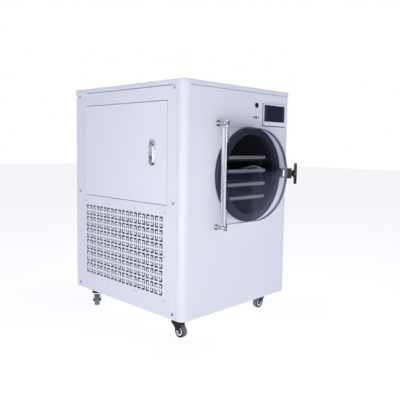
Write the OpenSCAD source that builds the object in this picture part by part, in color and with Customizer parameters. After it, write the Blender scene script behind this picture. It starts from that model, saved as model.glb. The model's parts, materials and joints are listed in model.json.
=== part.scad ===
// Freeze dryer on casters: a sheet metal cabinet around a round vacuum chamber
// with shelves and trays, a thick clear door, a side hatch and the refrigeration.
// X runs to the right along the front, Y to the rear, Z up from the floor.

/* [Cabinet] */
// Width over the side panels
body_w = 655; // [640:5:720]
// Depth over the front and rear panels
body_d = 710; // [700:5:800]
// Height from the lower edge of the panels to the top of the cover
body_h = 900; // [880:5:960]
// Thickness of the sheet metal
sheet = 1.5; // [1:0.1:2]
// Outer radius of the two rounded front corners
corner_r = 28; // [20:1:29]
// How far the front panel wraps round onto the sides
front_return = 33.5; // [32:0.5:38]
// Seam between the front panel and the side panels
panel_seam = 1; // [0.5:0.1:2]
// Height of the top cover's skirt
cover_h = 19; // [14:1:30]
// How far the cover stands out past the panels
cover_over = 2.5; // [2:0.5:8]
// Radius of the cover's upper edge
cover_edge = 3.5; // [2:0.5:6]
// How far the panels reach up inside the skirt
cover_lap = 8; // [4:1:12]
// Height of the dark gap left under the cover along the sides
cover_gap = 2.2; // [1.5:0.1:3]
// Height of the gap under the cover at the front
front_gap = 1.6; // [1:0.1:3]

/* [Frame] */
// Width of the square tube of the base frame
base_tube = 30; // [25:1:40]
// Wall of the base frame tube
base_wall = 2; // [1.5:0.5:3]
// Distance from the panels' outer face to the base frame
base_inset = 26; // [20:1:30]
// How far the base frame hangs below the panels
base_drop = 7; // [3:1:15]
// Thickness of the corner gussets that carry the casters
gusset_t = 4; // [3:0.5:6]
// Thickness of the floor pan
pan_t = 2; // [1.5:0.5:3]
// Height of the floor pan's flange
pan_flange = 18; // [10:1:22]
// Width of the upright tubes
post_w = 20; // [16:1:24]
// Depth of the front upright tubes
front_post = 34; // [30:1:40]
// Depth of the rear upright tubes
rear_post = 40; // [36:1:50]
// Wall of the upright tubes
post_wall = 1.5; // [1:0.1:2]

/* [Chamber] */
// Inner radius of the chamber
drum_r = 169; // [169:1:172]
// Wall of the chamber
drum_wall = 3; // [2:0.5:4]
// Depth of the chamber behind the front face
drum_len = 520; // [480:5:560]
// Distance of the chamber's axis to the right of the cabinet's middle
mouth_x = 33.5; // [20:0.5:40]
// Height of the chamber's axis above the lower edge of the panels
mouth_z = 545; // [535:1:560]
// Thickness of the mounting plate behind the front panel
plate_t = 6; // [4:1:8]
// Outer radius of the rubber door seal
seal_r = 194; // [190:1:196]
// Inner radius of the rubber door seal
seal_in = 163; // [160:1:165]
// How far the seal stands out from the front panel
seal_proud = 14; // [11:1:18]
// Wall of the insulation round the cooling coil
jacket_t = 19.5; // [15:0.5:25]

/* [Door] */
// Radius of the door's round side
door_r = 188; // [180:0.5:190]
// Thickness of the clear door
door_t = 32; // [25:1:34]
// Distance from the chamber's axis to the door's straight edge
door_left = 180; // [174:1:184]
// Gap left between the closed door and the seal
door_gap = 1; // [0.8:0.1:2]
// Angle that the door stands open at rest
door_ajar = 4; // [0:0.5:5]
// Distance of the hinge axis from the door's straight edge
hinge_inset = 10; // [9:0.5:11]
// Distance of the hinge axis behind the door's front face
hinge_depth = 10; // [9:0.5:11]
// Radius of the door's rear edge beside the hinge
door_round = 6; // [5:0.5:8]
// Diameter of the hinge pins
pin_d = 8; // [6:0.5:9]
// Length of a hinge pin inside the door
pin_deep = 60; // [30:1:80]
// Diameter of the hinge posts
arm_d = 14; // [12:1:16]
// Height of the hinge posts above and below the chamber's axis
arm_z = 201; // [201:1:206]
// Distance of the hinge posts from the hinge axis
arm_x = 14; // [12:1:18]
// Height of the knuckles round the hinge pins
knuckle_h = 18; // [16:1:20]

/* [Door clamp] */
// Distance of the clamp's pivot from the chamber's axis
clamp_x = 202; // [202:0.5:208]
// Distance of the clamp's pivot from the front panel
clamp_y = 26; // [26:0.5:32]
// Angle that the clamp is swung outwards at rest
clamp_swing = 34; // [30:1:40]
// Diameter of the swing bolt
bolt_d = 12; // [10:0.5:12]
// Distance from the pivot to the back of the jaw
jaw_back = 23; // [21:0.5:26]
// Length of the jaw along the bolt
jaw_t = 24; // [18:1:26]
// Long side of the jaw
jaw_long = 44; // [40:1:50]
// Short side of the jaw
jaw_short = 25; // [20:1:25]
// Diameter of the thrust collar
collar_d = 26; // [20:1:30]
// Length of the thrust collar
collar_t = 9; // [6:1:12]
// Diameter of the hand knob
knob_d = 92; // [80:1:96]
// Thickness of the hand knob
knob_t = 13; // [10:1:14]

/* [Shelves] */
// Height from one shelf to the next
shelf_pitch = 55; // [50:1:55]
// Height of the top tray's middle above the chamber's axis
top_tray = 69; // [60:1:69]
// Width of the shelves
shelf_w = 240; // [220:1:240]
// Length of the shelves
shelf_l = 410; // [300:5:430]
// Thickness of the heated shelves
shelf_t = 5; // [4:0.5:6]
// Distance from the front panel to the shelves' front edge
shelf_y = 20; // [16:1:50]
// Height of the trays
tray_h = 12; // [10:1:20]
// Sheet of the trays
tray_wall = 1.2; // [1:0.1:2]
// How far the trays reach out in front of the shelves
tray_lip = 8; // [0:1:12]
// Width of the rack's uprights, front to rear
rack_bar = 15; // [12:1:20]
// Thickness of the rack's uprights
rack_t = 6; // [4:0.5:6]

/* [Side hatch] */
// Distance from the front face to the hatch
hatch_y = 91; // [88:1:100]
// Width of the hatch
hatch_w = 551; // [500:1:560]
// Height of the hatch above the lower edge of the panels
hatch_z = 434; // [430:1:450]
// Height of the hatch
hatch_h = 390; // [350:1:400]
// Gap round the hatch
hatch_gap = 2; // [2:0.1:3]
// Depth of the hatch's folded edges
hatch_fold = 12; // [10:1:14]
// Diameter of the hatch's hinge pins
hatch_pin = 4; // [3:0.5:4]

/* [Hatch lock] */
// Distance from the hatch's front edge to the lock's middle
lock_y = 85; // [60:1:90]
// Height of the lock's middle above the hatch's lower edge
lock_z = 195.5; // [150:0.5:250]
// Width of the lock
lock_w = 34; // [28:1:36]
// Height of the lock
lock_h = 101; // [96:1:110]
// Thickness of the lock's base plate
lock_base_t = 3; // [2:0.5:4]
// Thickness of the pull lever
lever_t = 6; // [5:0.5:8]
// Diameter of the key barrel
barrel_d = 13; // [10:0.5:14]

/* [Side vent] */
// Number of vent cells from front to rear
vent_cols = 10; // [4:1:10]
// Number of vent cells in height
vent_rows = 6; // [3:1:6]
// Distance from one vent cell to the next
vent_pitch = 52.5; // [48:0.5:53]
// Side of one vent cell
vent_cell = 45.5; // [40:0.5:46]
// Width of the cut slots
vent_slot = 6.5; // [4:0.5:8]
// Distance from the front face to the vent field
vent_y = 112; // [108:1:120]
// Height of the vent field above the lower edge of the panels
vent_z = 80; // [75:1:85]
// Thickness of the filter pad behind the vent
filter_t = 5; // [3:0.5:8]

/* [Controls] */
// Width of the display's frame
hmi_w = 160; // [150:1:164]
// Height of the display's frame
hmi_h = 92; // [80:1:92]
// How far the display's frame stands out
hmi_proud = 5; // [3:0.5:8]
// Depth of the display's housing behind the panel
hmi_deep = 35; // [25:1:45]
// Distance of the display's middle to the right of the cabinet's middle
hmi_x = 208.5; // [204:0.5:212]
// Height of the display's middle above the lower edge of the panels
hmi_z = 794.5; // [794:0.5:800]
// Diameter of the mains rocker switch
switch_d = 21; // [19:0.5:28]
// Distance of the rocker switch to the right of the cabinet's middle
switch_x = 87; // [60:1:90]
// Height of the rocker switch above the lower edge of the panels
switch_z = 830; // [825:1:836]
// Tilt of the rocker to each side
switch_tilt = 6; // [4:0.5:8]
// Height of the data socket above the lower edge of the panels
usb_z = 780; // [775:1:785]
// Distance of the data socket to the right of the cabinet's middle
usb_x = 84.5; // [60:0.5:90]

/* [Refrigeration] */
// Diameter of the copper tube
tube_d = 12; // [10:0.5:12]
// Number of turns of the cooling coil
coil_turns = 11; // [6:1:14]
// Diameter of the compressor
comp_d = 170; // [140:5:180]
// Height of the compressor's shell
comp_h = 220; // [180:5:230]
// Height of the condenser
cond_h = 290; // [240:5:290]
// Length of the condenser, front to rear
cond_l = 440; // [380:5:450]
// Thickness of the condenser
cond_t = 54; // [40:1:60]
// Radius of the fan blades
fan_r = 128; // [100:1:132]
// Number of fan blades
fan_blades = 5; // [3:1:7]

/* [Services] */
// Bore of the vacuum pipe
vac_bore = 25; // [20:1:32]
// Wall of the vacuum pipe
vac_wall = 1.5; // [1:0.5:2]
// Height of the vacuum pipe above the chamber's axis
vac_z = 90; // [60:1:110]
// How far the vacuum port stands out at the rear
vac_out = 30; // [20:1:50]
// Diameter of the drain pipe
drain_d = 16; // [12:1:18]
// Width of the mains inlet
inlet_w = 50; // [46:1:60]

/* [Casters] */
// Diameter of the wheels
wheel_d = 50; // [40:1:60]
// Width of the wheels' tread
wheel_w = 22; // [18:1:26]
// Offset of the wheel from its swivel axis
caster_trail = 22; // [16:1:28]
// Distance of the swivel axes from the side panels
caster_x = 60; // [56:1:80]
// Distance of the front swivel axes from the front face
caster_front = 89; // [80:1:100]
// Distance of the rear swivel axes from the rear face
caster_rear = 71; // [68:1:90]
// Height of the swivel bearing
race_h = 14; // [8:1:20]
// Thickness of the caster plates
caster_plate = 3; // [2:0.5:5]

/* [Hidden] */
$fn = 64;

fit = 0.05;       // radial play of pins and fasteners
run = 0.1;        // radial play of turning and sliding fits
eps = 0.01;       // lets cutters pass through a face

// heights
wheel_gap = 5;    // from the wheel to the fork's crown
crown_t = 3;
caster_top = wheel_d + wheel_gap + crown_t + race_h + caster_plate;
base_z = caster_top + gusset_t;
ground_gap = base_z + base_drop;      // lower edge of the panels
pan_z = base_z + base_tube;
floor_z = pan_z + pan_t;
top_z = ground_gap + body_h;
panel_top = top_z - cover_h + cover_lap;
axis_z = ground_gap + mouth_z;
side_x = body_w / 2;
rear_y = body_d - sheet;              // inner face of the rear panel

// uprights and screws
post_y = front_return - 3.5;
side_seam = front_return + panel_seam;
screw_y = [post_y + 22.5, body_d - 30];
screw_rows = [22, 444.5, body_h - 31];
side_head = [5.5, 2.6];               // radius and height of a panel screw head
vent_head = [3.5, 1.8];

// chamber
drum_out = drum_r + drum_wall;
coil_r = drum_out + tube_d / 2 + 1.9;    // clear of the drum where the turns are drawn as chords
jacket_in = drum_out + tube_d + 2.3;
jacket_out = jacket_in + jacket_t;
plate_y = sheet + plate_t;            // rear face of the mounting plate
jacket_y = plate_y + 6.5;
jacket_l = drum_len - jacket_y - 20;
cradle_t = 4;

// door
door_back = -seal_proud - door_gap;
door_front = door_back - door_t;
hinge_x = mouth_x - door_left + hinge_inset;
hinge_y = door_front + hinge_depth;
arm_cx = hinge_x - arm_x;
knuckle_r = pin_d / 2 + 4;

// clamp, measured along the bolt from its pivot
clamp_cx = mouth_x + clamp_x;
eye_r = 9;
eye_h = 13.6;
collar_at = jaw_back + jaw_t;
knob_at = collar_at + collar_t;
knob_edge = 4;
bolt_end = knob_at + knob_t - 4;
bracket_w = 44;
bracket_h = 40;
ear_t = 4;

// trays and shelves, heights from the chamber's axis
tray_mid = [for (i = [0:3]) top_tray - i * shelf_pitch];
shelf_low = tray_mid[3] - tray_h / 2 - shelf_t;
rack_cross = 2;
rack_foot = run - sqrt(pow(drum_r, 2) - pow(shelf_w / 2 + 0.2 + rack_t, 2));
rack_rows = [shelf_y + 12, shelf_y + shelf_l - 12 - rack_bar];

// hatch
hatch_low = ground_gap + hatch_z;
hatch_top = hatch_low + hatch_h;
hatch_rear = hatch_y + hatch_w;
hatch_axis = [4, hatch_rear - 4];     // behind the outer face, and its Y
lock_cy = hatch_y + lock_y;
lock_cz = hatch_low + lock_z;
barrel_z = lock_cz + lock_h / 2 - 13.5;
lever_r = lever_t / 2 - 0.15;
lever_axis_z = barrel_z - barrel_d / 2 - 6;
lever_half = lock_w / 2 - 5;
lever_low = lock_cz - lock_h / 2 + 4;
button_r = 7.5;
button_z = lever_low + 27;
cam_reach = lock_y + hatch_gap + 9;
cam_x = hatch_fold + 0.8;

// vent
vent_w = (vent_cols - 1) * vent_pitch + vent_cell;
vent_h = (vent_rows - 1) * vent_pitch + vent_cell;
vent_low = ground_gap + vent_z;
vent_edge = 11;                       // from the field to the rows of screws
vent_screw_z = [vent_low - 16.5, vent_low + vent_h + 17];
vent_screw_y = [for (i = [0:3]) vent_y - vent_edge + i * (vent_w + 2 * vent_edge) / 3];
vent_screw_at = concat(
  [for (y = vent_screw_y, z = vent_screw_z) [y, z]],
  [for (i = [0, 3]) [vent_screw_y[i], vent_low + vent_h / 2]]
);

// lower bay
cond_x = -side_x + 26;
cond_y = 150;
cond_z = floor_z + 14;
tank = [200, 400];
fan_x = cond_x + cond_t + 4;
fan_c = [fan_x + 20, cond_y + cond_l / 2, cond_z + cond_h / 2];
coil_y = [40, drum_len - 40];
drain_y = coil_y[0] + 1.25 * (coil_y[1] - coil_y[0]) / (coil_turns - 0.5);  // between two turns
tail_x = mouth_x - coil_r;
tail_z = axis_z - coil_r + 40;
suction_x = mouth_x + coil_r;
suction_z = 100;

// services
vac_cz = axis_z + vac_z;
drain_z = axis_z - jacket_out + 8;
drain_end = body_d + 28;
inlet_at = [230, ground_gap + 74];

// casters: side, front or rear, and heading of the wheel from the swivel axis
caster_fl = [-1, 0, -90];
caster_fr = [1, 0, 180];
caster_rl = [-1, 1, -124];
caster_rr = [1, 1, -70];
wheel_r = wheel_d / 2;

// placing: the footprint's middle stands on the origin
most_front = -clamp_y - (knob_at + knob_t - knob_edge) * cos(clamp_swing)
  - (knob_d / 2 - knob_edge) * sin(clamp_swing) - knob_edge;
most_rear = body_d + vac_out;
lock_proud = lock_base_t + lever_t / 2 + lever_r + 0.3;
frame_x = (lock_proud - cover_over) / 2;
frame_y = -(most_front + most_rear) / 2;

// ---------- helpers ----------

module in_frame() { translate([frame_x, frame_y, 0]) children(); }

// a cylinder along Y from y, its axis at x, z
module rod_y(x, y, z, r, len) {
  translate([x, y, z]) rotate([-90, 0, 0]) cylinder(r = r, h = len);
}

// a cylinder along X from x, its axis at y, z
module rod_x(x, y, z, r, len) {
  translate([x, y, z]) rotate([0, 90, 0]) cylinder(r = r, h = len);
}

// a straight tube or rod from point a to point b
module rod_to(a, b, r) {
  d = b - a;
  len = norm(d);
  translate(a)
    rotate([0, acos(d[2] / len), atan2(d[1], d[0])]) cylinder(r = r, h = len);
}

// rods through a list of points, with a ball at each bend
module pipe_run(points, r) {
  last = len(points) - 1;
  for (i = [1:last]) rod_to(points[i - 1], points[i], r);
  for (i = [1:1:last - 1]) let (a = points[i] - points[i - 1], b = points[i + 1] - points[i],
                                d = a / norm(a) - b / norm(b))
    translate(points[i]) rotate([0, acos(d[2] / norm(d)), atan2(d[1], d[0])]) sphere(r = r);
}

// a box given by its two corners
module box(lo, hi) { translate(lo) cube(hi - lo); }

// a square or rectangular tube along one axis, 0 for X, 1 for Y, 2 for Z
module box_tube(lo, hi, wall, axis) {
  in_lo = [for (i = [0:2]) i == axis ? lo[i] - eps : lo[i] + wall];
  in_hi = [for (i = [0:2]) i == axis ? hi[i] + eps : hi[i] - wall];
  difference() {
    box(lo, hi);
    box(in_lo, in_hi);
  }
}

// outline of the cabinet seen from above, drawn in by inset
module cab_outline(inset) {
  r = corner_r - inset;
  translate([-side_x + inset, corner_r]) square([body_w - 2 * inset, body_d - corner_r - inset]);
  translate([-side_x + corner_r, inset]) square([body_w - 2 * corner_r, corner_r]);
  for (s = [-1, 1]) translate([s * (side_x - corner_r), corner_r]) circle(r = r);
}

// an upright oval, w wide and h tall, round at both ends
module oval(w, h) {
  square([w, h - w], center = true);
  for (s = [-1, 1]) translate([0, s * (h - w) / 2]) circle(d = w);
}

// extrudes a drawing of Y and Z along X
module along_x(x, len) {
  translate([x, 0, 0]) rotate([90, 0, 90]) linear_extrude(len) children();
}

// extrudes a drawing of X and Z along Y
module along_y(y, len) {
  translate([0, y + len, 0]) rotate([90, 0, 0]) linear_extrude(len) children();
}

// a cross-head screw along +Z, its head's seat at the origin and its shank below
module screw(head, shank_r, shank_l) {
  difference() {
    union() {
      cylinder(r = head[0], h = head[1] * 0.6);
      translate([0, 0, head[1] * 0.6]) cylinder(r1 = head[0], r2 = head[0] * 0.72, h = head[1] * 0.4);
      translate([0, 0, -shank_l]) cylinder(r = shank_r, h = shank_l);
    }
    translate([0, 0, head[1]]) cube([head[0] * 0.9, head[0] * 0.22, head[1]], center = true);
    translate([0, 0, head[1]]) cube([head[0] * 0.22, head[0] * 0.9, head[1]], center = true);
  }
}

// places of the screws on one side panel: Y and Z
module at_side_screws() {
  for (y = screw_y, z = screw_rows) translate([0, y, ground_gap + z]) children();
}

// places of the screws on the rear panel: X and Z
module at_rear_screws() {
  for (s = [-1, 1], z = screw_rows)
    translate([s * (side_x - sheet - post_w / 2), 0, ground_gap + z]) children();
}

// places of the screws round the vent: Y and Z
module at_vent_screws() {
  for (c = vent_screw_at) translate([0, c[0], c[1]]) children();
}

// turns what is drawn for the closed door to its rest angle
module ajar() {
  translate([hinge_x, hinge_y, 0])
    rotate([0, 0, -door_ajar])
      translate([-hinge_x, -hinge_y, 0]) children();
}

// the clamp's own frame: its bolt along +Z from the pivot, X across, Y up the panel
module on_clamp() {
  translate([clamp_cx, -clamp_y, axis_z])
    rotate([0, 0, clamp_swing])
      rotate([90, 0, 0]) children();
}

// a caster's own frame: swivel axis upright at the origin, wheel towards +X
module on_caster(c) {
  x = c[0] * (side_x - caster_x);
  y = c[1] == 0 ? caster_front : body_d - caster_rear;
  translate([x, y, 0]) rotate([0, 0, c[2]]) children();
}

module caster_places() {
  for (c = [caster_fl, caster_fr, caster_rl, caster_rr]) on_caster([c[0], c[1], 0]) children();
}

// ---------- frame ----------

module base_frame() {
  x = side_x - base_inset;
  y0 = base_inset;
  y1 = body_d - base_inset;
  plate = [70, 90];
  color("gainsboro") in_frame() difference() {
    union() {
      for (s = [-1, 1]) {
        box_tube([s > 0 ? x - base_tube : -x, y0, base_z], [s > 0 ? x : base_tube - x, y1, pan_z], base_wall, 1);
      }
      for (y = [y0, y1 - base_tube, tank[1] - 90, tank[1] + 60])
        box_tube([-x + base_tube, y, base_z], [x - base_tube, y + base_tube, pan_z], base_wall, 0);
      for (s = [-1, 1], r = [0, 1])
        translate([s * (side_x - caster_x), r == 0 ? caster_front : body_d - caster_rear, caster_top + gusset_t / 2])
          cube([plate[0], plate[1], gusset_t], center = true);
    }
    caster_places() for (p = [-1, 1], q = [-1, 1])
      translate([p * 24, q * 18, caster_top - eps]) cylinder(r = 4 + fit, h = gusset_t + 2 * eps);
  }
}

module base_pan() {
  low = pan_z - pan_flange;
  color("gainsboro") in_frame() difference() {
    union() {
      translate([0, 0, pan_z]) linear_extrude(pan_t) cab_outline(sheet);
      translate([0, 0, low]) linear_extrude(pan_flange) difference() {
        cab_outline(sheet);
        cab_outline(sheet + pan_t);
      }
    }
    at_side_screws() for (s = [-1, 1]) rod_x(s * (side_x - sheet) - 8, 0, 0, 3 + fit, 16);
    at_rear_screws() rod_y(0, rear_y - 8, 0, 3 + fit, 16);
  }
}

module upright_frame() {
  x = side_x - sheet;
  top = top_z - sheet;
  rail = cover_h - sheet;
  color("gainsboro") in_frame() difference() {
    union() {
      for (s = [-1, 1]) {
        x0 = s > 0 ? x - post_w : -x;
        box_tube([x0, post_y, floor_z], [x0 + post_w, post_y + front_post, top], post_wall, 2);
        box_tube([x0, rear_y - rear_post, floor_z], [x0 + post_w, rear_y, top], post_wall, 2);
        box_tube([x0, post_y + front_post, top - rail], [x0 + post_w, rear_y - rear_post, top], post_wall, 1);
      }
      for (y = [post_y, rear_y - rail])
        box_tube([post_w - x, y, top - rail], [x - post_w, y + rail, top], post_wall, 0);
    }
    at_side_screws() for (s = [-1, 1]) rod_x(s * x - 8, 0, 0, 3 + fit, 16);
    at_rear_screws() rod_y(0, rear_y - 8, 0, 3 + fit, 16);
  }
}

// ---------- panels ----------

module front_panel() {
  color("whitesmoke") in_frame() difference() {
    translate([0, 0, ground_gap]) linear_extrude(panel_top - ground_gap) intersection() {
      difference() {
        cab_outline(0);
        cab_outline(sheet);
      }
      translate([-side_x, 0]) square([body_w, front_return]);
    }
    box([corner_r - side_x, -eps, top_z - cover_h - front_gap], [side_x - corner_r, sheet + eps, top_z - cover_h]);
    rod_y(mouth_x, -eps, axis_z, drum_out + 1, sheet + 2 * eps);
    box([hmi_x - hmi_w / 2 + 5 - fit, -eps, ground_gap + hmi_z - hmi_h / 2 + 4 - fit],
        [hmi_x + hmi_w / 2 - 5 + fit, sheet + eps, ground_gap + hmi_z + hmi_h / 2 - 4 + fit]);
    rod_y(switch_x, -eps, ground_gap + switch_z, switch_d / 2 - 1.5 + fit, sheet + 2 * eps);
    box([usb_x - 7 - fit, -eps, ground_gap + usb_z - 3.75 - fit],
        [usb_x + 7 + fit, sheet + eps, ground_gap + usb_z + 3.75 + fit]);
    for (s = [-1, 1]) rod_y(usb_x + s * 17.5, -eps, ground_gap + usb_z, 1.5 + fit, sheet + 2 * eps);
    for (s = [-1, 1]) rod_y(arm_cx, -eps, axis_z + s * arm_z, arm_d / 2 + fit, sheet + 2 * eps);
    for (s = [-1, 1]) rod_y(clamp_cx + 26, -eps, axis_z + s * 12, 3 + fit, sheet + 2 * eps);
  }
}

// outlines of one vent cell: four corner slots round four small windows
function vent_cell_loops() = let (h = vent_cell / 2, arm = (vent_cell - 7) / 2, t = vent_slot) concat(
  [for (p = [-1, 1], q = [-1, 1])
    [for (c = [[h, h], [h - arm, h], [h - arm, h - t], [h - t, h - t], [h - t, h - arm], [h, h - arm]])
      [p * c[0], q * c[1]]]],
  [for (p = [-1, 1], q = [-1, 1])
    [for (c = [[-1, -1], [1, -1], [1, 1], [-1, 1]])
      [p * vent_cell * 0.165 + c[0] * t * 0.5, q * vent_cell * 0.165 + c[1] * t * 0.52]]]
);

// sheet between the front return and the rear face, drawn in Y and Z
module side_sheet() {
  translate([side_seam, ground_gap]) square([body_d - side_seam, panel_top - ground_gap]);
}

// gap under the cover, closed near the rear, drawn in Y and Z
module cover_slot() {
  translate([side_seam + 6, top_z - cover_h - cover_gap]) square([body_d - side_seam - 92, cover_gap]);
}

module left_panel() {
  g = hatch_gap;
  first = [vent_y + vent_cell / 2, vent_low + vent_cell / 2];
  color("whitesmoke") in_frame() along_x(-side_x, sheet) difference() {
    side_sheet();
    cover_slot();
    translate([hatch_y - g, hatch_low - g]) square([hatch_w + 2 * g, hatch_h + 2 * g]);
    for (i = [0:vent_cols - 1], j = [0:vent_rows - 1])
      translate(first + [i, j] * vent_pitch) for (loop = vent_cell_loops()) polygon(loop);
    for (y = screw_y, z = screw_rows) translate([y, ground_gap + z]) circle(r = 3 + fit);
    for (c = vent_screw_at) translate(c) circle(r = 2 + fit);
  }
}

module right_panel() {
  color("whitesmoke") in_frame() difference() {
    along_x(side_x - sheet, sheet) difference() {
      side_sheet();
      cover_slot();
    }
    at_side_screws() rod_x(side_x - sheet - eps, 0, 0, 3 + fit, sheet + 2 * eps);
  }
}

module rear_panel() {
  x = side_x - sheet;
  slot = [150, 6];
  color("whitesmoke") in_frame() difference() {
    box([-x, rear_y, ground_gap], [x, body_d, panel_top]);
    for (i = [0:11], s = [-1, 1])
      box([s * 150 - slot[0] / 2, rear_y - eps, floor_z + 40 + i * 16],
          [s * 150 + slot[0] / 2, body_d + eps, floor_z + 40 + slot[1] + i * 16]);
    rod_y(mouth_x, rear_y - eps, vac_cz, vac_bore / 2 + vac_wall + fit, sheet + 2 * eps);
    rod_y(mouth_x, rear_y - eps, drain_z, drain_d / 2 + fit, sheet + 2 * eps);
    box([inlet_at[0] + 38 - inlet_w / 2, rear_y - eps, inlet_at[1] + 220],
        [inlet_at[0] + 38 + inlet_w / 2 - 14, body_d + eps, inlet_at[1] + 220 + 34]);
    at_rear_screws() rod_y(0, rear_y - eps, 0, 3 + fit, sheet + 2 * eps);
  }
}

// section of the cover's rim: height up, and out to r
module rim_profile(r) {
  square([r, cover_h - cover_edge]);
  square([r - cover_edge, cover_h]);
  translate([r - cover_edge, cover_h - cover_edge]) circle(r = cover_edge);
}

module top_cover() {
  rf = corner_r + cover_over;
  rr = cover_edge + 0.7;
  x = side_x + cover_over;
  y0 = -cover_over;
  y1 = body_d + cover_over;
  z = top_z - cover_h;
  color("white") in_frame() difference() {
    translate([0, 0, z]) union() {
      for (s = [-1, 1]) {
        translate([s * (x - rf), y0 + rf, 0]) rotate_extrude() rim_profile(rf);
        translate([s * (x - rr), y1 - rr, 0]) rotate_extrude() rim_profile(rr);
        translate([s * (x - rr), (y0 + rf + y1 - rr) / 2, 0]) rotate([90, 0, 0])
          mirror([s > 0 ? 0 : 1, 0, 0]) linear_extrude(y1 - rr - y0 - rf, center = true) rim_profile(rr);
      }
      translate([0, y0 + rr, 0]) rotate([90, 0, -90]) linear_extrude(2 * (x - rf), center = true) rim_profile(rr);
      translate([0, y1 - rr, 0]) rotate([90, 0, 90]) linear_extrude(2 * (x - rr), center = true) rim_profile(rr);
      box([rf - x, y0 + rr, 0], [x - rf, y1 - rr, cover_h]);
      box([rr - x, y0 + rf, 0], [x - rr, y1 - rr, cover_h]);
    }
    translate([0, 0, z - eps]) linear_extrude(cover_h - sheet + eps) {
      t = sheet;
      translate([rf - x, y0 + t]) square([2 * (x - rf), y1 - y0 - 2 * t]);
      translate([t - x, y0 + rf]) square([2 * (x - t), y1 - rr - y0 - rf]);
      translate([rr - x, y0 + rf]) square([2 * (x - rr), y1 - t - y0 - rf]);
      for (s = [-1, 1]) {
        translate([s * (x - rf), y0 + rf]) circle(r = rf - t);
        translate([s * (x - rr), y1 - rr]) circle(r = rr - t);
      }
    }
  }
}

module cabinet_screws() {
  color("silver") in_frame() {
    at_side_screws() {
      translate([-side_x, 0, 0]) rotate([0, -90, 0]) screw(side_head, 3, 9);
      translate([side_x, 0, 0]) rotate([0, 90, 0]) screw(side_head, 3, 9);
    }
    at_rear_screws() translate([0, body_d, 0]) rotate([-90, 0, 0]) screw(side_head, 3, 9);
    at_vent_screws() translate([-side_x, 0, 0]) rotate([0, -90, 0]) screw(vent_head, 2, 6);
    for (s = [-1, 1]) translate([usb_x + s * 17.5, 0, ground_gap + usb_z])
      rotate([90, 0, 0]) screw([3, 1.6], 1.5, 6);
    for (s = [-1, 1]) translate([clamp_cx + 26, -4, axis_z + s * 12])
      rotate([90, 0, 0]) screw([5, 3], 3, 4 + plate_y);
  }
}

module vent_filter() {
  lo = vent_screw_z[0] - 8;
  hi = vent_screw_z[1] + 8;
  y0 = vent_y - vent_edge - 8;
  y1 = vent_y + vent_w + vent_edge + 8;
  x = -side_x + sheet;
  rim = vent_edge + 4;
  color("dimgray") in_frame() difference() {
    union() {
      box([x, y0 + rim, lo + rim], [x + filter_t, y1 - rim, hi - rim]);
      difference() {
        box([x, y0, lo], [x + filter_t + 3, y1, hi]);
        box([x - eps, y0 + rim, lo + rim], [x + filter_t + 3 + eps, y1 - rim, hi - rim]);
      }
    }
    at_vent_screws() rod_x(x - eps, 0, 0, 2 + fit, 6);
  }
}

// ---------- chamber ----------

module chamber_drum() {
  p = plate_t;
  left = arm_cx - 26;
  right = clamp_cx + 40;
  low = axis_z - arm_z - 22;
  color("silver") in_frame() difference() {
    union() {
      rod_y(mouth_x, -seal_proud + 6, axis_z, drum_out, drum_len + seal_proud - 6);
      box([left, sheet, low], [right, plate_y, axis_z + drum_out + 28]);
      box([left, sheet, low], [left + 62, plate_y, axis_z + arm_z + 20]);
    }
    rod_y(mouth_x, -seal_proud, axis_z, drum_r, drum_len + seal_proud - 4);
    for (s = [-1, 1]) rod_y(arm_cx, sheet - eps, axis_z + s * arm_z, arm_d / 2 + fit, p + 2 * eps);
    for (s = [-1, 1]) rod_y(clamp_cx + 26, sheet - eps, axis_z + s * 12, 3 + fit, p + 2 * eps);
    rod_y(mouth_x, drum_len - 5, vac_cz, vac_bore / 2 + vac_wall + fit, 6);
    translate([mouth_x, drain_y, axis_z - drum_out - 1]) cylinder(r = drain_d / 2 + fit, h = drum_wall + 6);
  }
}

module door_gasket() {
  lip = seal_proud - 6;
  g = 0.1;
  round_r = 5;
  color([0.1, 0.1, 0.13]) in_frame() translate([mouth_x, 0, axis_z]) rotate([-90, 0, 0]) rotate_extrude() {
    difference() {
      translate([seal_in, -seal_proud]) square([seal_r - seal_in, seal_proud]);
      translate([drum_r - g, -lip - g]) square([drum_out - drum_r + 2 * g, seal_proud]);
      translate([seal_r - round_r, -seal_proud]) square([round_r + 1, round_r]);
    }
    translate([seal_r - round_r, -seal_proud + round_r]) circle(r = round_r);
    translate([seal_in, -eps]) square([drum_r - g - seal_in, 8]);
  }
}

// centre line of the cooling coil: a drop, the turns round the drum, and a drop
coil_end = coil_turns - 0.5;
function coil_point(t) =
  [mouth_x - coil_r * cos(t * 360), coil_y[0] + t * (coil_y[1] - coil_y[0]) / coil_end, axis_z + coil_r * sin(t * 360)];
coil_steps = 24;
coil_path = concat(
  [[tail_x, coil_y[0], tail_z]],
  [for (i = [0:coil_end * coil_steps]) coil_point(i / coil_steps)],
  [[mouth_x + coil_r, coil_y[1], tail_z]]
);

// a tube swept along points with a ring of sides at each one, turned by refs
module swept_tube(path, refs, r, sides) {
  n = len(path);
  dirs = [for (i = [0:n - 1]) let (d = path[min(i + 1, n - 1)] - path[max(i - 1, 0)]) d / norm(d)];
  rings = [for (i = [0:n - 1])
    let (b = cross(dirs[i], refs[i]),
         v = b / norm(b),
         u = cross(v, dirs[i]))
    for (k = [0:sides - 1]) path[i] + r * (cos(k * 360 / sides) * u + sin(k * 360 / sides) * v)];
  sides_of = [for (i = [0:n - 2], k = [0:sides - 1])
    let (a = i * sides + k, b = i * sides + (k + 1) % sides) [a, b, b + sides, a + sides]];
  ends = [[for (k = [sides - 1:-1:0]) k], [for (k = [0:sides - 1]) (n - 1) * sides + k]];
  polyhedron(points = rings, faces = concat([for (f = sides_of) [f[3], f[2], f[1], f[0]]],
             [for (e = ends) [for (k = [sides - 1:-1:0]) e[k]]]));
}

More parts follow.
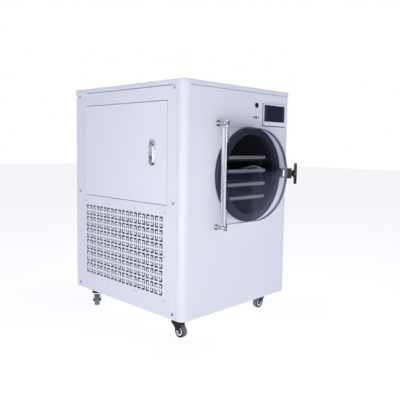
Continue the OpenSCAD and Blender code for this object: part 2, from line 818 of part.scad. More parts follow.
module cold_coil() {
  out = [for (p = coil_path) p - [mouth_x, p[1], axis_z]];
  color("peru") in_frame() swept_tube(coil_path, out, tube_d / 2, 8);
}

module insulation_jacket() {
  color([0.2, 0.2, 0.2]) in_frame() difference() {
    rod_y(mouth_x, jacket_y, axis_z, jacket_out, jacket_l);
    rod_y(mouth_x, jacket_y - eps, axis_z, jacket_in, jacket_l + 2 * eps);
    for (s = [0, 1]) translate([mouth_x + (2 * s - 1) * coil_r, coil_y[s], tail_z - 10])
      cylinder(r = tube_d / 2 + 1.5, h = axis_z - tail_z + 10);
    translate([mouth_x, drain_y, axis_z - jacket_out - 5]) cylinder(r = drain_d / 2 + 1, h = jacket_t + 10);
    rod_y(mouth_x, drain_y, drain_z, drain_d / 2 + 1, drum_len);
  }
}

module drum_cradle() {
  half = 150;
  window = [170, drain_z + 12];
  color("lightgray") in_frame() for (y = [plate_y, drum_len - 15]) along_y(y, cradle_t) difference() {
    translate([mouth_x - half, floor_z]) square([2 * half, axis_z - 60 - floor_z]);
    translate([mouth_x, axis_z]) circle(r = drum_out + run);
    translate([mouth_x - window[0] / 2, floor_z + 20]) square([window[0], window[1] - floor_z - 20]);
    translate([tank[0] - 30, cond_z + cond_h - 20]) circle(r = tube_d / 2 + 3);
  }
}

// ---------- shelves ----------

module shelf_rack() {
  w = shelf_w / 2 + 0.2;
  top = top_tray + tray_h / 2 + 8;
  color("lightgray") in_frame() translate([mouth_x, 0, axis_z]) union() {
    for (s = [-1, 1], y = rack_rows)
      box([s > 0 ? w : -w - rack_t, y, rack_foot], [s > 0 ? w + rack_t : -w, y + rack_bar, top]);
    for (y = rack_rows, m = tray_mid) {
      z = m - tray_h / 2 - shelf_t;
      box([-w, y, z - rack_cross], [w, y + rack_bar, z]);
    }
    for (s = [-1, 1]) box([s > 0 ? w : -w - rack_t, rack_rows[0], top - 10],
                          [s > 0 ? w + rack_t : -w, rack_rows[1] + rack_bar, top]);
  }
}

module heated_shelves() {
  color("silver") in_frame() translate([mouth_x, 0, axis_z]) for (m = tray_mid) {
    z = m - tray_h / 2 - shelf_t;
    box([-shelf_w / 2, shelf_y, z], [shelf_w / 2, shelf_y + shelf_l, z + shelf_t]);
  }
}

module tray(i) {
  m = tray_mid[i];
  x = shelf_w / 2 - 1;
  y0 = shelf_y - tray_lip;
  y1 = shelf_y + shelf_l - 10;
  lo = m - tray_h / 2;
  hi = m + tray_h / 2;
  t = tray_wall;
  color("lightgray") in_frame() translate([mouth_x, 0, axis_z]) difference() {
    box([-x, y0, lo], [x, y1, hi]);
    box([-x + t, y0 + t, lo + t], [x - t, y1 - t, hi + 1]);
  }
}

module temp_probe() {
  // sheathed sensor lying over the second tray and led back along its right side
  r = 1.6;
  base = tray_mid[1] + tray_h / 2 + r + 0.4;
  arch = [for (i = [0:6]) [2 + i * 18, shelf_y + 6, base + 10 * sin(i * 30)]];
  path = concat([[-40, shelf_y + 80, base - tray_h + tray_wall], [-10, shelf_y + 50, base - 4]], arch,
                [[116, shelf_y + 40, base], [116, drum_len - 4, base]]);
  up = [for (p = path) [0, 0, 1]];
  color("white") in_frame() translate([mouth_x, 0, axis_z]) swept_tube(path, up, r, 10);
}

// ---------- refrigeration ----------

module compressor() {
  r = comp_d / 2;
  lift = 22;
  cap = 26;
  x = tank[0];
  y = tank[1];
  color([0.12, 0.12, 0.13]) in_frame() translate([x, y, floor_z]) union() {
    translate([0, 0, lift]) cylinder(r = r, h = comp_h - 2 * cap);
    translate([0, 0, lift + comp_h - 2 * cap]) cylinder(r1 = r, r2 = r - 22, h = cap);
    translate([0, 0, lift - 14]) cylinder(r1 = r - 16, r2 = r, h = 14);
    translate([0, 0, lift - 11]) cube([comp_d * 0.95, comp_d * 0.95, 4], center = true);
    for (p = [-1, 1], q = [-1, 1]) translate([p * comp_d * 0.4, q * comp_d * 0.4, 0]) cylinder(r = 10, h = lift - 9);
    box([-28, -r - 24, lift + 60], [28, -r + 20, lift + 120]);
    rod_y(suction_x - x, r - 20, suction_z, tube_d / 2, 32);
    translate([-30, 40, lift + comp_h - 2 * cap]) cylinder(r = tube_d / 2, h = cap + 12);
  }
}

module refrigerant_lines() {
  r = tube_d / 2;
  cx = cond_x + cond_t / 2;
  y_out = cond_y + cond_l + 12;
  y_run = y_out + 34;
  hi = cond_z + cond_h - 20;
  lo = cond_z + 20;
  comp_top = floor_z + 22 + comp_h - 26 + 12;
  run_x = fan_x + 50;
  out_x = tank[0] - 30;
  back_y = coil_y[1] + 60;
  color("peru") in_frame() {
    pipe_run([[cx, y_out, hi], [cx, y_run, hi], [out_x, y_run, hi], [out_x, tank[1] + 40, hi],
              [out_x, tank[1] + 40, comp_top]], r);
    union() {
      pipe_run([[cx, y_out, lo], [cx, y_run, lo], [run_x, y_run, lo], [run_x, coil_y[0], lo],
                [tail_x, coil_y[0], lo], [tail_x, coil_y[0], tail_z]], r);
      rod_y(run_x, y_out - 70, lo, 18, 80);
    }
    pipe_run([[suction_x, coil_y[1], tail_z], [suction_x, coil_y[1], hi + 30], [suction_x, back_y, hi + 30],
              [suction_x, back_y, floor_z + suction_z], [suction_x, tank[1] + comp_d / 2 + 12, floor_z + suction_z]], r);
  }
}

module condenser() {
  r = 4.5;
  fins = floor(cond_l / 12);
  rows = 6;
  color("silver") in_frame() difference() {
    union() {
      for (i = [0:fins]) box([cond_x, cond_y + i * (cond_l - 2) / fins, cond_z],
                             [cond_x + cond_t, cond_y + i * (cond_l - 2) / fins + 2, cond_z + cond_h]);
      for (i = [0:rows - 1], j = [0, 1])
        rod_y(cond_x + cond_t * (0.25 + 0.5 * j), cond_y, cond_z + (i + 0.5) * cond_h / rows, r, cond_l);
      for (z = [cond_z + 20, cond_z + cond_h - 20])
        rod_y(cond_x + cond_t / 2, cond_y + cond_l - 1, z, tube_d / 2, 13);
      box([cond_x, cond_y, floor_z], [cond_x + cond_t, cond_y + 30, cond_z]);
      box([cond_x, cond_y + cond_l - 30, floor_z], [cond_x + cond_t, cond_y + cond_l, cond_z]);
    }
  }
}

module fan_shroud() {
  x0 = cond_x + cond_t;
  y = fan_c[1];
  z = fan_c[2];
  half = cond_h / 2;
  color([0.15, 0.15, 0.16]) in_frame() difference() {
    union() {
      box([x0, y - half, z - half], [x0 + 2, y + half, z + half]);
      rod_x(x0, y, z, fan_r + 9, 40);
    }
    rod_x(x0 - 1, y, z, fan_r + 6, 42);
  }
}

module fan_motor() {
  x0 = cond_x + cond_t + 40;
  y = fan_c[1];
  z = fan_c[2];
  r = 38;
  color("dimgray") in_frame() union() {
    rod_x(x0 + 4, y, z, r, 50);
    rod_x(x0 - 20, y, z, 5, 24);
    for (a = [30:120:270]) translate([x0, y, z]) rotate([a, 0, 0]) box([0, 0, -8], [4, fan_r + 9, 8]);
  }
}

module fan_blade() {
  x = fan_x + 6;
  hub = [24, 22];
  color([0.1, 0.1, 0.1]) in_frame() translate([x, fan_c[1], fan_c[2]]) difference() {
    union() {
      rod_x(0, 0, 0, hub[0], hub[1]);
      for (i = [0:fan_blades - 1]) rotate([i * 360 / fan_blades, 0, 0])
        translate([hub[1] / 2, 0, (hub[0] + fan_r) / 2 - 2]) rotate([0, 0, 24])
          cube([2, 46, fan_r - hub[0] - 10], center = true);
    }
    rod_x(-1, 0, 0, 5 + run, hub[1] + 2);
  }
}

// ---------- services ----------

module vacuum_pipe() {
  r = vac_bore / 2;
  y0 = drum_len - 4;
  y1 = body_d + vac_out;
  color("silver") in_frame() difference() {
    union() {
      rod_y(mouth_x, y0, vac_cz, r + vac_wall, y1 - y0);
      rod_y(mouth_x, y1 - 4, vac_cz, r + 7.5, 4);
    }
    rod_y(mouth_x, y0 - eps, vac_cz, r, y1 - y0 + 2 * eps);
  }
}

module drain_pipe() {
  r = drain_d / 2;
  x = mouth_x;
  low = drain_z;
  color("silver") in_frame() difference() {
    union() {
      translate([x, drain_y, low]) cylinder(r = r, h = axis_z - drum_out + drum_wall - low + 2);
      translate([x, drain_y, low]) sphere(r = r);
      rod_y(x, drain_y, low, r, drain_end - drain_y);
      rod_y(x, drain_end - 16, low, r + 1.5, 4);
      rod_y(x, drain_end - 8, low, r + 1.5, 4);
    }
    translate([x, drain_y, low]) cylinder(r = r - 2, h = jacket_t + 60);
    translate([x, drain_y, low]) sphere(r = r - 2);
    rod_y(x, drain_y, low, r - 2, drain_end);
  }
}

module power_inlet() {
  cx = inlet_at[0] + 31;
  lo = inlet_at[1] + 220;
  w = inlet_w - 14;
  color([0.08, 0.08, 0.08]) in_frame() difference() {
    union() {
      box([cx - w / 2 - 5, body_d, lo - 6], [cx + w / 2 + 5, body_d + 3, lo + 40]);
      box([cx - w / 2 + 0.1, body_d - 30, lo + 0.1], [cx + w / 2 - 0.1, body_d, lo + 33.9]);
    }
    box([cx - w / 2 + 4, body_d - 18, lo + 4], [cx + w / 2 - 4, body_d + 4, lo + 30]);
  }
}

module control_box() {
  x1 = side_x - sheet - post_w;
  color("gainsboro") in_frame() difference() {
    box([x1 - 150, 64, axis_z + 206], [x1, 190, axis_z + 326]);
    box([x1 - 150 + sheet, 64 + sheet, axis_z + 206 + sheet], [x1 - sheet, 190 - sheet, axis_z + 326 - sheet]);
  }
}

// ---------- controls ----------

module hmi_frame() {
  w = hmi_w;
  h = hmi_h;
  z = ground_gap + hmi_z;
  glass = [w - 14, h - 22];
  color("white") in_frame() translate([hmi_x, 0, z]) difference() {
    union() {
      box([-w / 2, -hmi_proud, -h / 2], [w / 2, 0, h / 2]);
      box([-w / 2 + 5, 0, -h / 2 + 4], [w / 2 - 5, hmi_deep, h / 2 - 4]);
    }
    box([-w / 2 + 6, -hmi_proud - eps, h / 2 - 5 - glass[1]], [-w / 2 + 6 + glass[0], -hmi_proud + 2, h / 2 - 5]);
  }
}

module hmi_glass() {
  w = hmi_w;
  h = hmi_h;
  z = ground_gap + hmi_z;
  glass = [w - 14, h - 22];
  color([0.13, 0.15, 0.24]) in_frame() translate([hmi_x, 0, z])
    box([-w / 2 + 6 + fit, -hmi_proud + 0.4, h / 2 - 5 - glass[1] + fit],
        [-w / 2 + 6 + glass[0] - fit, -hmi_proud + 2, h / 2 - 5 - fit]);
}

module switch_bezel() {
  r = switch_d / 2;
  z = ground_gap + switch_z;
  color([0.08, 0.08, 0.09]) in_frame() difference() {
    union() {
      rod_y(switch_x, -2, z, r, 2);
      rod_y(switch_x, 0, z, r - 1.5, 18);
    }
    rod_y(switch_x, -3, z, r - 3, 16);
    rod_x(switch_x - r, 2, z, 1.5 + fit, switch_d);
  }
}

module rocker_switch() {
  r = switch_d / 2 - 3.4;
  z = ground_gap + switch_z;
  color([0.1, 0.1, 0.1]) in_frame() translate([switch_x, 2, z]) rotate([switch_tilt, 0, 0]) union() {
    difference() {
      rotate([0, 90, 0]) sphere(r = r);
      translate([0, -r - 3.2, 0]) rotate([14, 0, 0]) translate([0, -5, r]) cube([3 * r, 10, 2 * r], center = true);
      translate([0, -r - 3.2, 0]) rotate([-14, 0, 0]) translate([0, -5, -r]) cube([3 * r, 10, 2 * r], center = true);
      translate([0, -r, 0]) cube([3 * r, 5, 3 * r], center = true);
    }
    rod_x(-r - 1.8, 0, 0, 1.5, 2 * r + 3.6);
  }
}

module usb_socket() {
  z = ground_gap + usb_z;
  color([0.08, 0.08, 0.09]) in_frame() translate([usb_x, 0, z]) difference() {
    union() {
      box([-7, -0.8, -3.75], [7, 24, 3.75]);
      box([-22, sheet, -6], [22, sheet + 3, 6]);
    }
    box([-6, -1, -2.3], [6, 12, 2.3]);
    for (s = [-1, 1]) rod_y(s * 17.5, sheet - eps, 0, 1.5 + fit, 3 + 2 * eps);
  }
}

// ---------- door ----------

module hinge_posts() {
  color("silver") in_frame() for (s = [-1, 1]) translate([0, 0, axis_z + s * arm_z]) difference() {
    union() {
      rod_y(arm_cx, hinge_y, 0, arm_d / 2, plate_y - hinge_y + 12);
      translate([arm_cx, hinge_y, 0]) sphere(r = arm_d / 2);
      rod_x(arm_cx, hinge_y, 0, arm_d / 2, arm_x);
      translate([hinge_x, hinge_y, -knuckle_h / 2]) cylinder(r = knuckle_r, h = knuckle_h);
      rod_y(arm_cx, hinge_y - 20, 0, 4.5, 20);
      rod_y(arm_cx, hinge_y - 11, 0, arm_d / 2, 3);
      rod_y(arm_cx, -5, 0, arm_d / 2 + 5, 5);
      translate([arm_cx, plate_y, 0]) rotate([-90, 0, 0]) cylinder(r = arm_d / 2 + 5, h = 8, $fn = 6);
    }
    translate([hinge_x, hinge_y, -knuckle_h / 2 - 1]) cylinder(r = pin_d / 2 + fit, h = knuckle_h + 2);
  }
}

module hinge_pins() {
  inner = arm_z - knuckle_h / 2;
  color("silver") in_frame() for (s = [0, 1])
    translate([hinge_x, hinge_y, axis_z]) mirror([0, 0, s]) union() {
      translate([0, 0, door_r - pin_deep + 1]) cylinder(r = pin_d / 2, h = arm_z + knuckle_h / 2 - door_r + pin_deep - 1);
      translate([0, 0, door_r + 0.2]) cylinder(r = knuckle_r, h = inner - door_r - 0.2);
      translate([0, 0, arm_z + knuckle_h / 2]) cylinder(r = knuckle_r - 1, h = 4);
    }
}

module door_pane() {
  left = mouth_x - door_left;
  color([0.8, 0.86, 0.92, 0.35]) in_frame() ajar() difference() {
    union() {
      rod_y(mouth_x, door_front, axis_z, door_r, door_t);
      box([left, door_front, axis_z - door_r], [mouth_x, door_back, axis_z + door_r]);
    }
    box([left - 30, door_front - 1, axis_z - door_r - 1], [left, door_back + 1, axis_z + door_r + 1]);
    // round the rear edge beside the hinge, so that it passes the seal
    difference() {
      box([left - 1, door_back - door_round, axis_z - door_r - 1], [left + door_round, door_back + 1, axis_z + door_r + 1]);
      translate([left + door_round, door_back - door_round, axis_z - door_r - 2])
        cylinder(r = door_round, h = 2 * door_r + 4);
    }
    for (s = [0, 1]) translate([hinge_x, hinge_y, axis_z]) mirror([0, 0, s])
      translate([0, 0, door_r - pin_deep]) cylinder(r = pin_d / 2 + fit, h = pin_deep + 1);
  }
}

// ---------- clamp ----------

module clamp_bracket() {
  x0 = clamp_cx - 7.3;
  ear_in = eye_h / 2 + 0.2;
  color("silver") in_frame() {
    difference() {
      union() {
        box([x0, -4, axis_z - bracket_h / 2], [x0 + bracket_w, 0, axis_z + bracket_h / 2]);
        for (s = [-1, 1]) {
          z = axis_z + (s > 0 ? ear_in : -ear_in - ear_t);
          box([x0, -clamp_y, z], [clamp_cx + 7.3, -3, z + ear_t]);
          translate([clamp_cx, -clamp_y, z]) cylinder(r = 7.3, h = ear_t);
        }
      }
      translate([clamp_cx, -clamp_y, axis_z - 20]) cylinder(r = 4 + fit, h = 40);
      for (s = [-1, 1]) rod_y(clamp_cx + 26, -4 - eps, axis_z + s * 12, 3 + fit, 4 + 2 * eps);
    }
    translate([clamp_cx, -clamp_y, axis_z - ear_in - ear_t - 1]) cylinder(r = 4, h = 2 * (ear_in + ear_t + 1));
    for (s = [0, 1]) translate([clamp_cx, -clamp_y, axis_z]) mirror([0, 0, s])
      translate([0, 0, ear_in + ear_t]) cylinder(r = 5.5, h = 2);
  }
}

module swing_bolt() {
  color("silver") in_frame() on_clamp() difference() {
    union() {
      rotate([90, 0, 0]) cylinder(r = eye_r, h = eye_h, center = true);
      cylinder(r = bolt_d / 2, h = bolt_end);
    }
    rotate([90, 0, 0]) cylinder(r = 4 + run, h = eye_h + 2, center = true);
  }
}

module clamp_jaw() {
  color([0.07, 0.07, 0.08]) in_frame() on_clamp() translate([0, 0, jaw_back]) difference() {
    linear_extrude(jaw_t) {
      r = 4;
      square([jaw_short, jaw_long - 2 * r], center = true);
      square([jaw_short - 2 * r, jaw_long], center = true);
      for (p = [-1, 1], q = [-1, 1]) translate([p * (jaw_short / 2 - r), q * (jaw_long / 2 - r)]) circle(r = r);
    }
    translate([0, 0, -1]) cylinder(r = bolt_d / 2 + run, h = jaw_t + 2);
  }
}

module thrust_collar() {
  color([0.07, 0.07, 0.08]) in_frame() on_clamp() translate([0, 0, collar_at]) difference() {
    cylinder(r1 = collar_d / 2 - 2, r2 = collar_d / 2 + 5, h = collar_t);
    translate([0, 0, -1]) cylinder(r = bolt_d / 2 + run, h = collar_t + 2);
  }
}

module hand_knob() {
  r = knob_d / 2;
  e = knob_edge;
  lobes = 10;
  color([0.07, 0.07, 0.08]) in_frame() on_clamp() translate([0, 0, knob_at]) difference() {
    rotate_extrude() {
      square([r - e, knob_t]);
      translate([0, e]) square([r, knob_t - 2 * e]);
      for (z = [e, knob_t - e]) translate([r - e, z]) circle(r = e);
    }
    for (i = [0:lobes - 1]) rotate([0, 0, (i + 0.5) * 360 / lobes])
      translate([r + 9, 0, -1]) cylinder(r = 12, h = knob_t + 2);
    translate([0, 0, -1]) cylinder(r = bolt_d / 2 + run, h = knob_t - 1);
  }
}

// ---------- hatch and its lock ----------

module side_hatch() {
  x = -side_x;
  t = sheet;
  color("white") in_frame() difference() {
    box([x, hatch_y, hatch_low], [x + hatch_fold, hatch_rear, hatch_top]);
    box([x + t, hatch_y + t, hatch_low + t], [x + hatch_fold + 1, hatch_rear - t, hatch_top - t]);
    translate([x + hatch_axis[0], hatch_axis[1], hatch_low - 1]) cylinder(r = hatch_pin / 2 + run, h = hatch_h + 2);
    rod_x(x - 1, lock_cy, barrel_z, barrel_d / 2 + 2 + fit, t + 2);
  }
}

// welded lugs with the hinge pins, and the strike behind which the lock's cam turns
module hatch_mounts() {
  x = -side_x + sheet;
  y = hatch_axis[1];
  z = hatch_top + 0.3;
  g = hatch_gap;
  color("silver") in_frame() {
    for (s = [0, 1]) translate([0, 0, s * (hatch_top + hatch_low)]) mirror([0, 0, s]) union() {
      translate([-side_x + hatch_axis[0], y, hatch_top - 8]) cylinder(r = hatch_pin / 2, h = 8.3 + g);
      box([x, y - 8, z], [x + 7, y + 14, z + g]);
      box([x, y - 8, z], [x + 2, y + 14, z + 20]);
    }
    box([x, hatch_y - g - 16, barrel_z - 20], [x - sheet + hatch_fold + 0.5, hatch_y - g, barrel_z + 20]);
  }
}

module lock_base() {
  x = -side_x;
  axis_x = x - lock_base_t - lever_t / 2;
  color("silver") in_frame() difference() {
    union() {
      along_x(x - lock_base_t, lock_base_t) translate([lock_cy, lock_cz]) oval(lock_w, lock_h);
      rod_x(x - lock_base_t - 4, lock_cy, barrel_z, barrel_d / 2 + 2.5, 4.5);
      rod_x(x, lock_cy, barrel_z, barrel_d / 2 + 2, hatch_fold - 1);
      for (s = [-1, 1]) translate([0, lock_cy + s * (lever_half + 1.9), 0])
        box([axis_x - 2.5, -1.5, lever_axis_z - 2.5], [x - 1, 1.5, lever_axis_z + 2.5]);
      rod_y(axis_x, lock_cy - lever_half - 2, lever_axis_z, 1.2, 2 * lever_half + 4);
    }
    rod_x(x - 20, lock_cy, barrel_z, barrel_d / 2 + run, 50);
  }
}

module lock_lever() {
  x = -side_x - lock_base_t - lever_t / 2;
  len = lever_axis_z - lever_low;
  color("lightsteelblue") in_frame() difference() {
    union() {
      along_x(x - lever_r, 2 * lever_r) translate([lock_cy, lever_low]) {
        translate([-lever_half, lever_half]) square([2 * lever_half, len - lever_half]);
        translate([0, lever_half]) circle(r = lever_half);
      }
      rod_y(x, lock_cy - lever_half, lever_axis_z, lever_r, 2 * lever_half);
    }
    rod_x(x - lever_t, lock_cy, button_z, button_r + run, 2 * lever_t);
    rod_y(x, lock_cy - lever_half - 1, lever_axis_z, 1.2 + run, 2 * lever_half + 2);
  }
}

module lock_button() {
  x = -side_x - lock_base_t - lever_t / 2 - lever_r;
  color([0.15, 0.4, 0.6]) in_frame() rod_x(x - 0.3, lock_cy, button_z, button_r, lever_t - 2.8);
}

module lock_barrel() {
  x = -side_x;
  r = barrel_d / 2;
  color("dimgray") in_frame() {
    difference() {
      union() {
        rod_x(x - lock_base_t - 4.6, lock_cy, barrel_z, r, lock_base_t + 4.6 + cam_x);
        rod_x(x + cam_x, lock_cy, barrel_z, 3.5, 6);
      }
      box([x - lock_base_t - 5, lock_cy - 0.8, barrel_z - 4], [x - lock_base_t, lock_cy + 0.8, barrel_z + 4]);
    }
    difference() {
      along_x(x + cam_x, 3) translate([lock_cy, barrel_z]) {
        circle(r = 10);
        translate([-8, 0]) square([16, cam_reach]);
      }
      rod_x(x + cam_x - 1, lock_cy, barrel_z, 3.5 + fit, 5);
    }
  }
}

// ---------- casters ----------

module caster_plates() {
  z = caster_top;
  color("dimgray") in_frame() caster_places() union() {
    translate([0, 0, z - caster_plate / 2]) cube([64, 52, caster_plate], center = true);
    for (p = [-1, 1], q = [-1, 1]) translate([p * 24, q * 18, z - eps]) cylinder(r = 4, h = gusset_t);
    translate([0, 0, z - caster_plate - race_h + 0.3]) cylinder(r = 22, h = race_h - 0.3);
    translate([0, 0, z - caster_plate - race_h - crown_t - 2]) cylinder(r = 5, h = race_h + crown_t + 2);
  }
}

module caster_fork(c) {
  crown_z = wheel_d + wheel_gap;
  leg_in = wheel_w / 2 + 1.6;
  leg_t = 2.5;
  color([0.12, 0.12, 0.13]) in_frame() on_caster(c) {
    difference() {
      union() {
        translate([0, 0, crown_z]) cylinder(r = 23, h = crown_t);
        translate([0, 0, crown_z]) box([0, -leg_in - leg_t, 0], [caster_trail, leg_in + leg_t, crown_t]);
        for (s = [-1, 1]) along_y(s > 0 ? leg_in : -leg_in - leg_t, leg_t) {
          polygon([[-20, crown_z + crown_t], [caster_trail + 6, crown_z + crown_t],
                   [caster_trail + 8, wheel_r], [caster_trail - 8, wheel_r]]);
          translate([caster_trail, wheel_r]) circle(r = 8);
        }
      }
      translate([0, 0, crown_z - 1]) cylinder(r = 5 + run, h = crown_t + 2);
      rod_y(caster_trail, -30, wheel_r, 4 + fit, 60);
    }
    union() {
      rod_y(caster_trail, -leg_in - leg_t, wheel_r, 4, 2 * (leg_in + leg_t));
      for (s = [0, 1]) mirror([0, s, 0]) rod_y(caster_trail, leg_in + leg_t, wheel_r, 6.5, 2.5);
    }
  }
}

module caster_wheel(c) {
  r = wheel_r;
  w = wheel_w / 2;
  e = 3.5;
  bore = 4 + run;
  color([0.3, 0.3, 0.32]) in_frame() on_caster(c) translate([caster_trail, 0, r])
    rotate([-90, 0, 0]) rotate_extrude() {
      translate([bore, -w - 1]) square([4, wheel_w + 2]);
      translate([bore, -w * 0.6]) square([r * 0.68 - bore + 1, wheel_w * 0.6]);
      translate([r * 0.68, -w]) square([r * 0.32 - e, wheel_w]);
      translate([r * 0.68, -w + e]) square([r * 0.32, wheel_w - 2 * e]);
      for (s = [-1, 1]) translate([r - e, s * (w - e)]) circle(r = e);
    }
}

base_frame();
base_pan();
upright_frame();
front_panel();
left_panel();
right_panel();
rear_panel();
top_cover();
cabinet_screws();
vent_filter();
chamber_drum();
door_gasket();
cold_coil();
insulation_jacket();
drum_cradle();
shelf_rack();
heated_shelves();
tray(0);  // tray_1
tray(1);  // tray_2
tray(2);  // tray_3
tray(3);  // tray_4
temp_probe();
compressor();
refrigerant_lines();
condenser();
fan_shroud();
fan_motor();
fan_blade();
vacuum_pipe();
drain_pipe();
power_inlet();
control_box();
hmi_frame();
hmi_glass();
switch_bezel();
rocker_switch();
usb_socket();
hinge_posts();
hinge_pins();
door_pane();
clamp_bracket();
swing_bolt();
thrust_collar();
clamp_jaw();
hand_knob();
side_hatch();
hatch_mounts();
lock_base();
lock_lever();
lock_button();
lock_barrel();
caster_plates();
caster_fork(caster_fl);  // caster_fork_fl
caster_fork(caster_fr);  // caster_fork_fr
caster_fork(caster_rl);  // caster_fork_rl
caster_fork(caster_rr);  // caster_fork_rr
caster_wheel(caster_fl);  // caster_wheel_fl
caster_wheel(caster_fr);  // caster_wheel_fr
caster_wheel(caster_rl);  // caster_wheel_rl
caster_wheel(caster_rr);  // caster_wheel_rr
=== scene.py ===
import json
import math
import bmesh
import bpy
import numpy as np
from mathutils import Matrix, Vector


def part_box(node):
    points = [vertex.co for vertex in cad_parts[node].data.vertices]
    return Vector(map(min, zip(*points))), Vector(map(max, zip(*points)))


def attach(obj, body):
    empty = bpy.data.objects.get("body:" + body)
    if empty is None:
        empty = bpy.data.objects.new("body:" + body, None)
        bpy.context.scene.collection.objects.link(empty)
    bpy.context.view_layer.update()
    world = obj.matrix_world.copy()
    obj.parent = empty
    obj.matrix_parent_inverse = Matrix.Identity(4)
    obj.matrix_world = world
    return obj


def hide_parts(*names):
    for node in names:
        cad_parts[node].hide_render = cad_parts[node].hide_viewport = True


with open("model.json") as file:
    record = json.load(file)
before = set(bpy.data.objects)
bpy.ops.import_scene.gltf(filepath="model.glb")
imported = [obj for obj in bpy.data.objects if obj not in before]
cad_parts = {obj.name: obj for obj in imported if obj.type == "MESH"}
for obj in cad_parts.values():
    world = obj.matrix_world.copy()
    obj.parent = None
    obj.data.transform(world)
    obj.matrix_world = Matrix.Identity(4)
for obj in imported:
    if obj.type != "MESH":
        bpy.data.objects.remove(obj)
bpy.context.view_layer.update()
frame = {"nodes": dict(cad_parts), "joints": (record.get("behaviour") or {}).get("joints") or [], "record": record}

cadNode = frame["nodes"]
jointByName = {j["name"]: j for j in frame["joints"]}
bodyOf = {n: body for body, members in frame["record"]["behaviour"]["bodies"].items() for n in members}
corners = ("fl", "fr", "rl", "rr")   # front and rear, left and right
mm = 0.001
white = "#FFFFFF"


# a colour written as hex, turned to linear light
def tone(hexText, strength=1.0):
    raw = np.array([int(hexText[i:i + 2], 16) for i in (1, 3, 5)]) / 255.0
    linear = np.where(raw <= 0.04045, raw / 12.92, ((raw + 0.055) / 1.055) ** 2.4) * strength
    return (*[float(c) for c in linear], 1.0)


# gives a node's sockets a value each, or a link from another node's output
def feed(tree, node, inputs):
    for socket, value in inputs.items():
        if isinstance(value, bpy.types.NodeSocket):
            tree.links.new(value, node.inputs[socket])
        else:
            node.inputs[socket].default_value = value


# adds one node with its settings and inputs
def addNode(tree, kind, settings=None, inputs=None):
    node = tree.nodes.new("ShaderNode" + kind)
    for name, value in (settings or {}).items():
        setattr(node, name, value)
    feed(tree, node, inputs or {})
    return node


# repeats per metre along x, y and z of a pattern whose size is in millimetres, one number or three
def repeats(size):
    return [1 / (mm * s) for s in (size if isinstance(size, tuple) else (size,) * 3)]


# a Principled finish whose colour, roughness and relief vary a little over the piece;
# grain, bump and bumpGrain are in millimetres
def makeFinish(name, colour, rough, grain, metal=0.0, speckle=0.04, roughSpread=0.08, bump=0.0,
               bumpGrain=1.0, coat=0.0):
    mat = bpy.data.materials.new(name)
    mat.use_nodes = True
    tree = mat.node_tree
    base = np.array(tone(colour)[:3])
    coords = addNode(tree, "TexCoord").outputs["Object"]
    place = addNode(tree, "Mapping", inputs={"Vector": coords, "Scale": repeats(grain)})
    cloud = addNode(tree, "TexNoise", inputs={"Vector": place.outputs["Vector"], "Scale": 1.0, "Detail": 4.0})
    varied = addNode(tree, "Mix", {"data_type": "RGBA"}, {
        "Factor": cloud.outputs["Fac"], "A": (*base * (1 - speckle), 1),
        "B": (*np.minimum(1, base * (1 + speckle)), 1)})
    spread = addNode(tree, "MapRange", inputs={
        "Value": cloud.outputs["Fac"], "To Min": max(0.02, rough - roughSpread),
        "To Max": min(1.0, rough + roughSpread)})
    shader = tree.nodes["Principled BSDF"]
    feed(tree, shader, {"Base Color": varied.outputs["Result"], "Roughness": spread.outputs["Result"],
                        "Metallic": metal, "Coat Weight": coat})
    if bump:
        finePlace = addNode(tree, "Mapping", inputs={"Vector": coords, "Scale": repeats(bumpGrain)})
        fine = addNode(tree, "TexNoise", inputs={"Vector": finePlace.outputs["Vector"], "Scale": 1.0,
                                                 "Detail": 3.0})
        relief = addNode(tree, "Bump", inputs={"Height": fine.outputs["Fac"], "Strength": 1.0,
                                               "Distance": bump * mm})
        feed(tree, shader, {"Normal": relief.outputs["Normal"]})
    return mat


